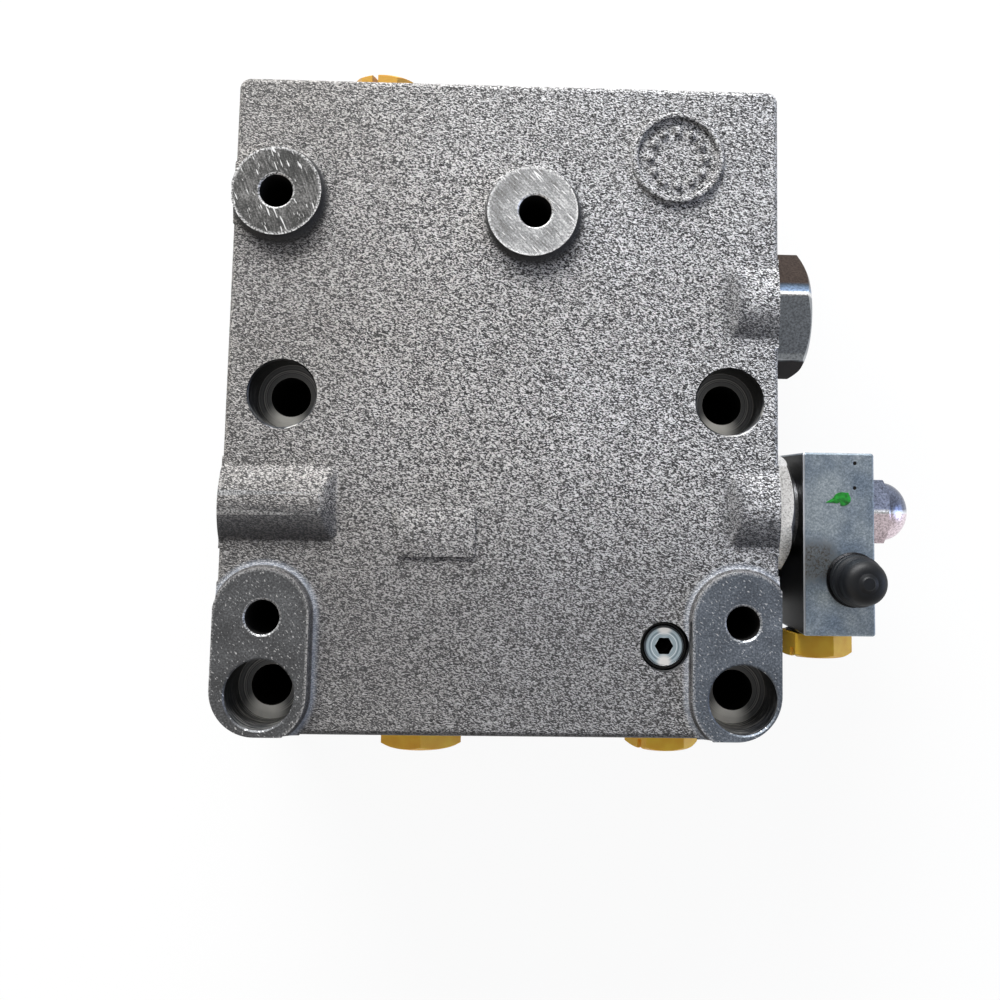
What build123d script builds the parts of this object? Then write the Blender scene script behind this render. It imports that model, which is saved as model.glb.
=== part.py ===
# Hydraulic safety valve: the cast end section of a stacked directional valve, lying on its
# machined mating face. X runs to the right and Y up as the cast outer face is looked at,
# Z comes out of that face. The origin is the centre of the mating face. Sizes in millimetres.
from build123d import *
import math
import os

# Casting
body_width = 148.6
body_height = 175.8
body_depth = 50.0
body_corner_radius = 3.0
face_edge_radius = 1.6
back_edge_chamfer = 0.6

# Machined pads for the tie rod nuts
pad_height = 3.0
left_pad_dia = 24.2
middle_pad_dia = 24.6
middle_pad_shift_x = -0.7
left_long_pad_dia = 25.2
left_long_pad_shift_x = -0.5
right_long_pad_dia = 26.6

# Cast fillet round the foot of each pad and boss. A raised form stands on a root that widens
# upwards inside the casting's rounded edge and ends just under its face.
foot_radius = 2.0
root_sink = 0.05
root_margin = 0.45
root_depth = 1.0

# How far a cut runs past the face that it opens, and the turned edges of holes and pieces
cut_overrun = 1.0
hole_edge = 0.4
edge_break = 0.5
thread_chamfer = 1.0
thread_runout = 2.0

# Flat end of a hexagon as a share of its width across flats, on turned and on finer pieces
turned_crown = 0.94
fine_crown = 0.97

# Holes for tie rods and mounting bolts, all along Z and right through
tie_hole_dia = 9.0
bolt_hole_dia = 11.0
bolt_head_dia = 18.0
bolt_head_depth = 12.0
tie_left_inset = 11.9
tie_left_y = 55.5
tie_middle_x = 7.4
tie_middle_y = 51.6
mid_bolt_left_inset = 15.0
mid_bolt_right_inset = 13.4
mid_bolt_y = 1.0
low_left_inset = 12.85
low_right_inset = 10.25
low_tie_inset = 30.4
low_bolt_inset = 10.7

# Two cross bores along X, at one depth below the cast face
bore_axis_z = 27.0
spool_axis_y = 28.2
relief_axis_y = -28.0

# Cast half round bosses over the bores
boss_half_width = 9.7
left_boss_height = 3.2
right_boss_height = 2.3
spool_boss_height = 1.8
boss_end_slope = 48.0
boss_end_radius = 2.5
left_boss_length = 30.5
right_boss_length = 13.4
boss_overhang = 12.0

# Priority spool, its bore, its spring and the hexagon plug that closes it
spool_bore_dia = 16.0
spool_clearance = 0.02
spool_bore_end_x = -48.0
spool_length = 76.0
spool_end_land = 4.0
spool_neck_dia = 10.0
spool_overlap = 4.0
spool_groove_depth = 0.5
spool_groove_pitch = 4.0
spool_groove_start = 3.0
spool_groove_count = 2
spool_notch_dia = 3.0
spool_notch_count = 4
spool_drill_dia = 3.0
spool_stroke = 6.0
spool_pin_dia = 6.0
spring_room_dia = 19.0
spring_room_length = 18.0
spool_spring_dia = 12.6
spool_spring_wire = 1.7
spool_spring_turns = 7.0
spool_plug_flats = 32.0
spool_plug_head = 11.4
spool_plug_turn = 18.5
spool_plug_thread_dia = 27.0
spool_plug_thread = 15.0
spool_plug_pocket_dia = 15.0
spool_plug_pocket = 9.0

# Chambers cast round the bores
chamber_dia = 25.0
chamber_width = 12.5

# Play left at the ends of springs and under a closed valve cone
end_gap = 0.1
seat_gap = 0.06

# Relief line: seat, poppet, spring and the hexagon adapter that holds them
relief_nose_dia = 15.0
relief_bore_dia = 18.0
relief_shoulder_x = 2.0
relief_seat_length = 7.0
relief_seat_hole = 7.0
seat_flare = 1.5
poppet_dia = 11.5
poppet_clearance = 0.03
poppet_skirt = 11.0
poppet_waist_depth = 1.2
poppet_orifice_dia = 1.6
poppet_tip_width = 0.6
poppet_port_lap = 1.0
poppet_cone_angle = 30.0
poppet_lift = 2.5
poppet_spigot_dia = 5.6
poppet_spigot = 5.0
relief_spring_dia = 10.8
relief_spring_wire = 2.0
relief_spring_turns = 6.0
spring_seat_thickness = 4.0
spring_seat_spigot = 2.0
spring_seat_clearance = 0.2
spring_seat_drill = 3.0
adapter_flats = 30.0
adapter_head = 6.6
adapter_turn = 45.0
adapter_thread_dia = 24.0
adapter_thread = 16.0
adapter_cross_hole = 6.0
stud_dia = 12.0
stud_engagement = 13.0
stud_drill = 4.0
stud_cross_drill = 4.0
thread_clearance = 0.05

# Screw plug that closes the left end of the relief bore, flush in its spot face
end_plug_thread_dia = 22.0
end_plug_thread = 11.0
end_plug_collar_width = 3.0
end_plug_collar = 3.0
end_plug_socket = 10.0
end_plug_socket_depth = 8.0
flat_seal_thickness = 1.0
flat_seal_clearance = 0.2
spot_face_clearance = 0.6

# Side block, clamped against the adapter
block_seal_dia = 20.0
block_seal_thickness = 2.0
block_width = 19.8
block_height = 50.0
block_depth = 30.0
block_clamp_drop = 16.1
block_corner_radius = 0.8
block_edge_chamfer = 0.5
block_bore_clearance = 0.3
block_chamber_dia = 18.0
block_chamber_width = 9.0
block_gallery_dia = 6.5
block_port_inset = 6.9

# Domed cap nut
nut_flats = 18.0
nut_hex_height = 6.7
nut_turn = 90.0
nut_dome_dia = 16.6
nut_dome_height = 7.1
nut_thread_depth = 10.5

# Test nipple in the side block, with its sprung check valve and rubber cap
nipple_inset = 13.7
nipple_drop = 34.7
nipple_thread_dia = 10.0
nipple_thread = 9.0
nipple_runout = 1.0
nipple_collar_dia = 15.0
nipple_collar = 1.2
nipple_stem_dia = 8.8
nipple_stem = 9.6
nipple_groove_drop = 2.8
nipple_groove_width = 1.1
nipple_groove_depth = 0.7
nipple_bore_dia = 5.2
nipple_mouth_dia = 2.8
nipple_mouth = 4.6
valve_pin_dia = 2.2
valve_head = 2.4
valve_clearance = 0.04
valve_pin_sink = 0.6
nipple_spring_wire = 0.6
nipple_spring_clearance = 0.25
nipple_spring_turns = 5.0
retainer_thickness = 1.5
retainer_hole = 2.4
retainer_sink = 0.2
nipple_drill_dia = 4.0
cap_base_dia = 13.9
cap_dome_dia = 12.2
cap_height = 11.8
cap_base_height = 5.2
cap_dome_radius = 3.4
cap_nub_dia = 3.8
cap_nub_height = 0.7
cap_groove_depth = 0.35
cap_groove_width = 0.7
cap_grip_clearance = 0.05

# Round cord seals
seal_cord = 1.8
small_seal_cord = 1.2
seal_side_gap = 0.05

# Recessed screw plug in the cast face that closes the cross drilling
gallery_plug_x = 43.7
gallery_plug_y = -64.1
gallery_recess_dia = 13.0
gallery_recess_depth = 3.4
gallery_plug_dia = 10.6
gallery_thread_dia = 9.6
gallery_plug_rim = 1.2
gallery_plug_sink = 1.2
gallery_plug_length = 11.0
gallery_plug_socket = 4.3
gallery_plug_socket_depth = 4.5
gallery_drill_dia = 5.0

# Ports, each closed by a plastic transit plug with a hexagon head and a slot
port_axis_z = 25.0
pressure_port_x = -37.5
tank_port_x = -21.8
drain_port_x = 46.2
signal_port_x = 31.0
tank_gallery_x = 17.0
tank_gallery_y = -50.0
gallery_dia = 10.0
cross_gallery_dia = 9.0
signal_gallery_dia = 5.0
drill_overrun = 1.5
large_thread_dia = 17.0
medium_thread_dia = 13.0
small_thread_dia = 9.6
port_thread_depth = 13.0
plug_thread = 9.0
plug_thread_clearance = 0.2
plug_wall = 1.8
plug_floor = 2.0
plug_slot_width = 1.7
plug_slot_depth = 2.6
plug_seat_gap = 0.4
plug_ring_width = 1.6
large_plug_flats = 22.0
medium_plug_flats = 18.0
small_plug_flats = 14.0
high_plug_head = 7.7
middle_plug_head = 6.5
low_plug_head = 5.0

# Port openings in the mating face, each with a recess for a cord seal
face_port_dia = 11.0
signal_face_port_dia = 6.0
face_seal_land = 1.6

# Sizes and places worked out from the sizes above
body_left = -body_width / 2
body_right = body_width / 2
body_top = body_height / 2
body_bottom = -body_height / 2
tie_left_x = body_left + tie_left_inset
low_left_x = body_left + low_left_inset
low_right_x = body_right - low_right_inset
low_tie_y = body_bottom + low_tie_inset
low_bolt_y = body_bottom + low_bolt_inset
end_plug_collar_dia = end_plug_thread_dia + 2 * end_plug_collar_width
cast_face_z = body_depth
pad_face_z = body_depth + pad_height
bolt_seat_z = body_depth - bolt_head_depth
adapter_end_x = body_right + adapter_head
block_left = adapter_end_x + block_seal_thickness
block_right = block_left + block_width
block_mid_x = block_left + block_width / 2
block_top = relief_axis_y + block_clamp_drop
block_bottom = block_top - block_height
block_front = bore_axis_z + block_depth / 2
block_back = bore_axis_z - block_depth / 2
nipple_seal_dia = nipple_thread_dia + 2 * small_seal_cord
nipple_x = block_left + nipple_inset
nipple_y = block_top - nipple_drop
block_port_x = block_left + block_port_inset
spool_end_x = spool_bore_end_x + spool_length
spool_plug_inner_x = body_right - spool_plug_thread
spool_pocket_x = spool_plug_inner_x + spool_plug_pocket
seat_end_x = relief_shoulder_x + relief_seat_length
adapter_inner_x = body_right - adapter_thread
stud_inner_x = adapter_end_x - stud_engagement
spring_seat_x = stud_inner_x - spring_seat_thickness
relief_room_dia = poppet_dia + 2 * poppet_clearance
poppet_skirt_x = tank_gallery_x + adapter_cross_hole / 2 + poppet_port_lap
poppet_end_x = poppet_skirt_x + poppet_skirt

along_x = Rot(0, 90, 0)
along_y = Rot(-90, 0, 0)
against_x = Rot(0, -90, 0)
against_y = Rot(90, 0, 0)
tie_holes = [
    (tie_left_x, tie_left_y),
    (tie_middle_x, tie_middle_y),
    (low_left_x, low_tie_y),
    (low_right_x, low_tie_y),
]
mid_bolts = [(body_left + mid_bolt_left_inset, mid_bolt_y), (body_right - mid_bolt_right_inset, mid_bolt_y)]
low_bolts = [(low_left_x, low_bolt_y), (low_right_x, low_bolt_y)]


def rod(dia, start, end, x, y, direction):
    """A round rod from start to end along X, Y or Z; x and y are its other two coordinates."""
    middle = (start + end) / 2
    cylinder = Cylinder(dia / 2, end - start)
    if direction == "x":
        return Pos(middle, x, y) * along_x * cylinder
    if direction == "y":
        return Pos(x, middle, y) * along_y * cylinder
    return Pos(x, y, middle) * cylinder


def turned(points):
    """A turned piece from its half section, given as (radius, height) points round the Z axis."""
    return revolve(Plane.XZ * make_face(Polyline(*points, close=True)), Axis.Z, 360)


def ring(outer_dia, inner_dia, thickness):
    """A flat ring that stands on the XY plane."""
    outer = Cylinder(outer_dia / 2, thickness, align=(Align.CENTER, Align.CENTER, Align.MIN))
    return outer - Cylinder(inner_dia / 2, thickness, align=(Align.CENTER, Align.CENTER, Align.MIN))


def cord_seal(outer_dia, cord):
    """A round cord ring whose cord rests on the XY plane."""
    return Pos(0, 0, cord / 2) * Torus((outer_dia - cord) / 2, cord / 2)


def hexagon(flats, turn):
    """A hexagon face with a corner at the angle turn from the local X axis."""
    corner = flats / math.sqrt(3)
    angles = [math.radians(turn + 60 * step) for step in range(6)]
    points = [(corner * math.cos(a), corner * math.sin(a)) for a in angles]
    return make_face(Polyline(*points, close=True))


def hex_head(flats, height, turn, crown=turned_crown):
    """A hexagon head on the XY plane, its far end chamfered at 30 degrees as a turned bar is."""
    corner = flats / math.sqrt(3)
    crown_radius = crown * flats / 2
    drop = (corner - crown_radius) * math.tan(math.radians(30))
    cone = turned([(0, 0), (corner, 0), (corner, height - drop), (crown_radius, height), (0, height)])
    return extrude(hexagon(flats, turn), height) & cone


def coil(mean_dia, wire, turns, length):
    """A compression spring along Z that starts at the XY plane."""
    rise = length - wire
    path = Helix(rise / turns, rise, mean_dia / 2)
    section = Plane(origin=path @ 0, z_dir=path % 0) * Circle(wire / 2)
    return Pos(0, 0, wire / 2) * sweep(section, path=path, is_frenet=True)


def raised(outline, form):
    """A raised form on its root in the casting, with the cast fillet round its foot.

    outline gives the form's foot as a face, grown all round by a given amount.
    """
    low = cast_face_z - face_edge_radius - root_depth
    rise = cast_face_z - root_sink - low
    flare = foot_radius + root_margin
    root = extrude(Pos(0, 0, low) * outline(flare - rise), rise, taper=-45)
    joined = root + form
    top = low + rise
    edges = new_edges(root, form, combined=joined)
    return fillet(edges.filter_by(lambda edge: abs(edge.center().Z - top) < root_sink), foot_radius)


def pad(outline):
    """A machined pad on the cast face."""
    low = cast_face_z - face_edge_radius - root_depth / 2
    return raised(outline, extrude(Pos(0, 0, low) * outline(0), pad_face_z - low))


def round_pad(x, y, dia):
    """The pad round one tie rod hole."""
    return pad(lambda grow: Pos(x, y) * Circle(dia / 2 + grow))


def long_pad(x, dia):
    """The pad round one pair of lower holes."""
    place = Pos(x, (low_tie_y + low_bolt_y) / 2) * Rot(0, 0, 90)
    length = low_tie_y - low_bolt_y
    return pad(lambda grow: place * SlotCenterToCenter(length, dia + 2 * grow))


def boss(start, end, y, height):
    """A half round boss on the cast face, sloped and rounded off at both ends."""
    radius = (boss_half_width**2 + height**2) / (2 * height)
    low = cast_face_z - face_edge_radius - root_depth / 2
    sink = (cast_face_z - low) * math.tan(math.radians(boss_end_slope))
    top = cast_face_z + height + cut_overrun
    run = (top - cast_face_z) * math.tan(math.radians(boss_end_slope))
    side = Polyline((start - sink, low), (end + sink, low), (end - run, top), (start + run, top), close=True)
    block = Pos(0, y, 0) * extrude(Plane.XZ * make_face(side), 2 * boss_half_width, both=True)
    bulge = rod(2 * radius, start - sink, end + sink, y, cast_face_z + height - radius, "x") & block
    bulge = fillet(bulge.edges().group_by(Axis.Z)[-1], boss_end_radius)
    place = Pos((start + end) / 2, y)
    corner = foot_radius + boss_end_radius
    length = end - start
    width = 2 * boss_half_width
    return raised(
        lambda grow: place * RectangleRounded(length + 2 * grow, width + 2 * grow, corner + grow), bulge
    )


def socket_cut(flats, depth):
    """A hexagon socket cut downwards from the XY plane, with the drill point below it."""
    prism = Pos(0, 0, -depth) * extrude(hexagon(flats, 0), depth)
    point_height = flats / 2 * math.tan(math.radians(30))
    return prism + Pos(0, 0, -depth - point_height) * Cone(
        0, flats / 2, point_height, align=(Align.CENTER, Align.CENTER, Align.MIN)
    )


def bored(dia, depth):
    """A drilled hole downwards from the XY plane, with its 118 degree point."""
    point_height = dia / 2 * math.tan(math.radians(31))
    hole = Pos(0, 0, -depth) * Cylinder(dia / 2, depth, align=(Align.CENTER, Align.CENTER, Align.MIN))
    return hole + Pos(0, 0, -depth - point_height) * Cone(
        0, dia / 2, point_height, align=(Align.CENTER, Align.CENTER, Align.MIN)
    )


def cast_block():
    """The casting before it is machined: block, pads and bosses."""
    outline = RectangleRounded(body_width, body_height, body_corner_radius)
    block = extrude(outline, body_depth)
    block = fillet(block.edges().group_by(Axis.Z)[-1], face_edge_radius)
    block = chamfer(block.edges().group_by(Axis.Z)[0], back_edge_chamfer)
    left = body_left - boss_overhang
    right = body_right + boss_overhang
    forms = [
        round_pad(tie_left_x, tie_left_y, left_pad_dia),
        round_pad(tie_middle_x + middle_pad_shift_x, tie_middle_y, middle_pad_dia),
        long_pad(low_left_x + left_long_pad_shift_x, left_long_pad_dia),
        long_pad(low_right_x, right_long_pad_dia),
        boss(left, body_left + left_boss_length, relief_axis_y, left_boss_height),
        boss(body_right - right_boss_length, right, relief_axis_y, right_boss_height),
        boss(body_right - right_boss_length, right, spool_axis_y, spool_boss_height),
    ]
    return (block + forms) & extrude(outline, pad_face_z + left_boss_height)


def edge_cut(dia, x, y, z):
    """The turned edge of a hole of this diameter in a face at height z."""
    rise = hole_edge + cut_overrun
    low = z - hole_edge
    return Pos(x, y, low) * Cone(dia / 2, dia / 2 + rise, rise, align=(Align.CENTER, Align.CENTER, Align.MIN))


def bolt_holes():
    """Every hole along Z for tie rods and mounting bolts."""
    over = pad_face_z + cut_overrun
    cuts = []
    for x, y in tie_holes:
        cuts.append(rod(tie_hole_dia, -cut_overrun, over, x, y, "z"))
        cuts.append(edge_cut(tie_hole_dia, x, y, pad_face_z))
    for x, y in mid_bolts + low_bolts:
        cuts.append(rod(bolt_hole_dia, -cut_overrun, over, x, y, "z"))
        cuts.append(rod(bolt_head_dia, bolt_seat_z, over, x, y, "z"))
    cuts += [edge_cut(bolt_head_dia, x, y, cast_face_z) for x, y in mid_bolts]
    cuts += [edge_cut(bolt_head_dia, x, y, pad_face_z) for x, y in low_bolts]
    return cuts


def spool_cuts():
    """The spool bore with its chambers, spring room, thread and seal recess."""
    y, z = spool_axis_y, bore_axis_z
    over = body_right + cut_overrun
    room_x = spool_plug_inner_x - spring_room_length
    cuts = [
        rod(spool_bore_dia, spool_bore_end_x, body_right, y, z, "x"),
        rod(spring_room_dia, room_x, body_right, y, z, "x"),
        rod(spool_plug_thread_dia, spool_plug_inner_x, over, y, z, "x"),
        rod(spool_plug_thread_dia + 2 * seal_cord, body_right - seal_cord, over, y, z, "x"),
    ]
    for x in (pressure_port_x, tank_gallery_x):
        cuts.append(rod(chamber_dia, x - chamber_width / 2, x + chamber_width / 2, y, z, "x"))
    return cuts


def relief_cuts():
    """The relief bore with its shoulder, tank chamber, threads and seal recesses."""
    y, z = relief_axis_y, bore_axis_z
    collar_depth = end_plug_collar + flat_seal_thickness
    spot_face = end_plug_collar_dia + 2 * spot_face_clearance
    tank_x = tank_gallery_x
    over = body_right + cut_overrun
    start = body_left - cut_overrun
    thread_end = body_left + collar_depth + end_plug_thread + thread_runout
    return [
        rod(relief_nose_dia, body_left, relief_shoulder_x + cut_overrun, y, z, "x"),
        rod(relief_bore_dia, relief_shoulder_x, body_right, y, z, "x"),
        rod(chamber_dia, tank_x - chamber_width / 2, tank_x + chamber_width / 2, y, z, "x"),
        rod(adapter_thread_dia, adapter_inner_x, over, y, z, "x"),
        rod(adapter_thread_dia + 2 * seal_cord, body_right - seal_cord, over, y, z, "x"),
        rod(end_plug_thread_dia, start, thread_end, y, z, "x"),
        rod(spot_face, start, body_left + collar_depth, y, z, "x"),
    ]


def port_cuts():
    """The four ports in the top and bottom faces and the passages behind them."""
    z = port_axis_z
    down = port_thread_depth
    over = drill_overrun
    above = body_top + cut_overrun
    below = body_bottom - cut_overrun
    return [
        rod(medium_thread_dia, body_top - down, above, pressure_port_x, z, "y"),
        rod(small_thread_dia, body_top - down, above, signal_port_x, z, "y"),
        rod(large_thread_dia, below, body_bottom + down, tank_port_x, z, "y"),
        rod(medium_thread_dia, below, body_bottom + down, drain_port_x, z, "y"),
        rod(gallery_dia, relief_axis_y - over, body_top - down, pressure_port_x, z, "y"),
        rod(signal_gallery_dia, spool_axis_y - over, body_top - down, signal_port_x, z, "y"),
        rod(gallery_dia, body_bottom + down, tank_gallery_y + over, tank_port_x, z, "y"),
        rod(gallery_dia, tank_gallery_y - over, spool_axis_y + over, tank_gallery_x, z, "y"),
        rod(gallery_dia, body_bottom + down, tank_gallery_y + over, drain_port_x, z, "y"),
        rod(cross_gallery_dia, tank_port_x - over, drain_port_x + over, tank_gallery_y, z, "x"),
    ]


def face_port_cuts():
    """Port openings in the mating face, with the recesses for their seals."""
    cuts = []
    for x, y, dia, cord in face_ports():
        cuts.append(rod(dia, -cut_overrun, bore_axis_z - drill_overrun, x, y, "z"))
        cuts.append(rod(dia + 2 * (face_seal_land + cord), -cut_overrun, cord, x, y, "z"))
    return cuts


def face_ports():
    """Place, size and seal cord of each opening in the mating face."""
    return [
        (pressure_port_x, spool_axis_y, face_port_dia, seal_cord),
        (tank_gallery_x, 0, face_port_dia, seal_cord),
        (signal_port_x, spool_axis_y, signal_face_port_dia, small_seal_cord),
    ]


def gallery_plug_cuts():
    """The recess, thread and drilling of the screw plug in the cast face."""
    x, y = gallery_plug_x, gallery_plug_y
    thread_z = cast_face_z - gallery_plug_sink - gallery_plug_length
    return [
        rod(gallery_recess_dia, cast_face_z - gallery_recess_depth, cast_face_z + cut_overrun, x, y, "z"),
        rod(gallery_thread_dia, thread_z - thread_runout, cast_face_z, x, y, "z"),
        rod(gallery_drill_dia, port_axis_z, cast_face_z, x, y, "z"),
    ]


def valve_body():
    """The casting with everything bored and drilled."""
    cuts = bolt_holes() + spool_cuts() + relief_cuts() + port_cuts()
    return cast_block() - (cuts + face_port_cuts() + gallery_plug_cuts())


def spool():
    """The priority spool: three lands, two necks, metering notches and a stop pin."""
    radius = spool_bore_dia / 2 - spool_clearance
    neck = spool_neck_dia / 2
    land = tank_gallery_x - chamber_width / 2 - spool_overlap - spool_bore_end_x
    stop = spool_pocket_x - spool_stroke - spool_bore_end_x - end_gap
    pin = spool_pin_dia / 2
    edge = edge_break
    body = turned([
        (0, 0),
        (radius - edge, 0),
        (radius, edge),
        (radius, spool_end_land),
        (neck, spool_end_land),
        (neck, land),
        (radius, land),
        (radius, spool_length - edge),
        (radius - edge, spool_length),
        (pin, spool_length),
        (pin, stop - edge),
        (pin - edge, stop),
        (0, stop),
    ])
    cross = pressure_port_x - spool_bore_end_x
    body -= Cylinder(spool_drill_dia / 2, 2 * cross)
    body -= Pos(0, 0, cross) * along_x * Cylinder(spool_drill_dia / 2, 2 * radius)
    for step in range(spool_notch_count):
        place = Rot(0, 0, 360 / spool_notch_count * step) * Pos(radius, 0, land)
        body -= place * along_x * Cylinder(spool_notch_dia / 2, spool_notch_dia / 2)
    groove = 2 * spool_groove_depth
    cutter = Cylinder(radius + cut_overrun, groove) - Cylinder(radius - spool_groove_depth, groove)
    for step in range(spool_groove_count):
        body -= Pos(0, 0, spool_length - spool_groove_start - spool_groove_pitch * step) * cutter
    return Pos(spool_bore_end_x, spool_axis_y, bore_axis_z) * along_x * body


def spool_spring():
    """The spring between the spool's end face and the hexagon plug's pocket."""
    start = spool_end_x + end_gap
    length = spool_pocket_x - start - end_gap
    spring = coil(spool_spring_dia - spool_spring_wire, spool_spring_wire, spool_spring_turns, length)
    return Pos(start, spool_axis_y, bore_axis_z) * along_x * spring


def spool_plug():
    """The hexagon plug: head, thread shank and spring pocket."""
    shank = spool_plug_thread_dia / 2 - thread_clearance
    head = hex_head(spool_plug_flats, spool_plug_head, spool_plug_turn + 90)
    body = turned([
        (0, 0),
        (0, -spool_plug_thread),
        (shank - thread_chamfer, -spool_plug_thread),
        (shank, -spool_plug_thread + thread_chamfer),
        (shank, 0),
    ])
    pocket = Pos(0, 0, -spool_plug_thread) * Cylinder(
        spool_plug_pocket_dia / 2, spool_plug_pocket, align=(Align.CENTER, Align.CENTER, Align.MIN)
    )
    return Pos(body_right, spool_axis_y, bore_axis_z) * along_x * (head + body - pocket)


def shoulder_seal(shank_dia, y):
    """The cord seal in the recess under a hexagon head on the right side face."""
    seal = cord_seal(shank_dia + 2 * seal_cord, seal_cord)
    return Pos(body_right - seal_cord, y, bore_axis_z) * along_x * seal


def end_plug():
    """The flush screw plug with a hexagon socket at the left end of the relief bore."""
    shank = end_plug_thread_dia / 2 - thread_clearance
    collar = end_plug_collar_dia / 2
    depth = end_plug_collar + end_plug_thread
    body = turned([
        (0, 0),
        (0, -depth),
        (shank - thread_chamfer, -depth),
        (shank, -depth + thread_chamfer),
        (shank, -end_plug_collar),
        (collar, -end_plug_collar),
        (collar, -edge_break),
        (collar - edge_break, 0),
    ])
    body -= socket_cut(end_plug_socket, end_plug_socket_depth)
    return Pos(body_left, relief_axis_y, bore_axis_z) * against_x * body


def end_plug_seal():
    """The flat washer under the collar of the left end plug."""
    outer = end_plug_collar_dia - 2 * edge_break
    seal = ring(outer, end_plug_thread_dia + 2 * flat_seal_clearance, flat_seal_thickness)
    return Pos(body_left + end_plug_collar, relief_axis_y, bore_axis_z) * along_x * seal


def relief_seat():
    """The hardened seat ring, flared at its mouth."""
    outer = relief_bore_dia / 2 - spool_clearance
    hole = relief_seat_hole / 2
    seat = turned([
        (hole + seat_flare, 0),
        (outer, 0),
        (outer, relief_seat_length),
        (hole, relief_seat_length),
        (hole, seat_flare),
    ])
    return Pos(relief_shoulder_x, relief_axis_y, bore_axis_z) * along_x * seat


def relief_poppet():
    """The poppet: its cone closes the seat, its skirt is guided in the adapter."""
    radius = poppet_dia / 2
    waist = radius - poppet_waist_depth
    hole = relief_seat_hole / 2
    slope = math.tan(math.radians(90 - poppet_cone_angle))
    tip = poppet_orifice_dia / 2 + poppet_tip_width
    cone_start = seat_gap - (hole - tip) * slope
    cone_end = seat_gap + (waist - hole) * slope
    skirt = poppet_skirt_x - seat_end_x
    end = skirt + poppet_skirt
    spigot = poppet_spigot_dia / 2
    body = turned([
        (0, cone_start),
        (tip, cone_start),
        (waist, cone_end),
        (waist, skirt),
        (radius, skirt + poppet_waist_depth),
        (radius, end),
        (spigot, end),
        (spigot, end + poppet_spigot - edge_break),
        (spigot - edge_break, end + poppet_spigot),
        (0, end + poppet_spigot),
    ])
    body -= Cylinder(poppet_orifice_dia / 2, 4 * end)
    return Pos(seat_end_x, relief_axis_y, bore_axis_z) * along_x * body


def relief_spring():
    """The spring between the poppet and its seat disc."""
    start = poppet_end_x + end_gap
    length = spring_seat_x - start - end_gap
    spring = coil(relief_spring_dia - relief_spring_wire, relief_spring_wire, relief_spring_turns, length)
    return Pos(start, relief_axis_y, bore_axis_z) * along_x * spring


def spring_seat():
    """The stepped disc between the spring and the clamp stud, drilled for pilot oil."""
    outer = relief_room_dia / 2 - spring_seat_clearance
    spigot = poppet_spigot_dia / 2
    drill = spring_seat_drill / 2
    disc = turned([
        (drill, -spring_seat_spigot),
        (spigot, -spring_seat_spigot),
        (spigot, 0),
        (outer, 0),
        (outer, spring_seat_thickness),
        (drill, spring_seat_thickness),
    ])
    return Pos(spring_seat_x, relief_axis_y, bore_axis_z) * along_x * disc


def relief_adapter():
    """The hexagon adapter: thread, long nose that clamps the seat, and cross holes to tank."""
    nose = relief_bore_dia / 2 - spool_clearance
    shank = adapter_thread_dia / 2 - thread_clearance
    nose_length = body_right - seat_end_x
    head = hex_head(adapter_flats, adapter_head, adapter_turn + 90)
    body = turned([
        (0, 0),
        (0, -nose_length),
        (nose, -nose_length),
        (nose, -adapter_thread),
        (shank, -adapter_thread + shank - nose),
        (shank, 0),
    ])
    body += head
    room = stud_inner_x - body_right
    body -= Pos(0, 0, room) * bored(relief_room_dia, nose_length + room)
    stud_hole = Cylinder(
        stud_dia / 2 + thread_clearance,
        adapter_head - room + 2 * cut_overrun,
        align=(Align.CENTER, Align.CENTER, Align.MIN),
    )
    body -= Pos(0, 0, room - cut_overrun) * stud_hole
    cross = Pos(0, 0, tank_gallery_x - body_right)
    for turn in (0, 90):
        body -= cross * Rot(0, 0, turn) * along_x * Cylinder(adapter_cross_hole / 2, 3 * nose)
    return Pos(body_right, relief_axis_y, bore_axis_z) * along_x * body


def clamp_stud():
    """The hollow stud that clamps the side block and feeds it."""
    end = block_right + nut_thread_depth - thread_chamfer
    radius = stud_dia / 2
    length = end - stud_inner_x
    body = turned([
        (0, 0),
        (radius - thread_chamfer, 0),
        (radius, thread_chamfer),
        (radius, length - thread_chamfer),
        (radius - thread_chamfer, length),
        (0, length),
    ])
    feed = block_mid_x - stud_inner_x
    body -= Pos(0, 0, feed) * bored(stud_drill, feed + stud_drill)
    body -= Pos(0, 0, feed) * along_x * Cylinder(stud_cross_drill / 2, 2 * stud_dia)
    return Pos(stud_inner_x, relief_axis_y, bore_axis_z) * along_x * body


def block_seal():
    """The flat metal and rubber washer between the adapter and the side block."""
    washer = ring(block_seal_dia, stud_dia + 2 * block_bore_clearance, block_seal_thickness)
    return Pos(adapter_end_x, relief_axis_y, bore_axis_z) * along_x * washer


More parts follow.
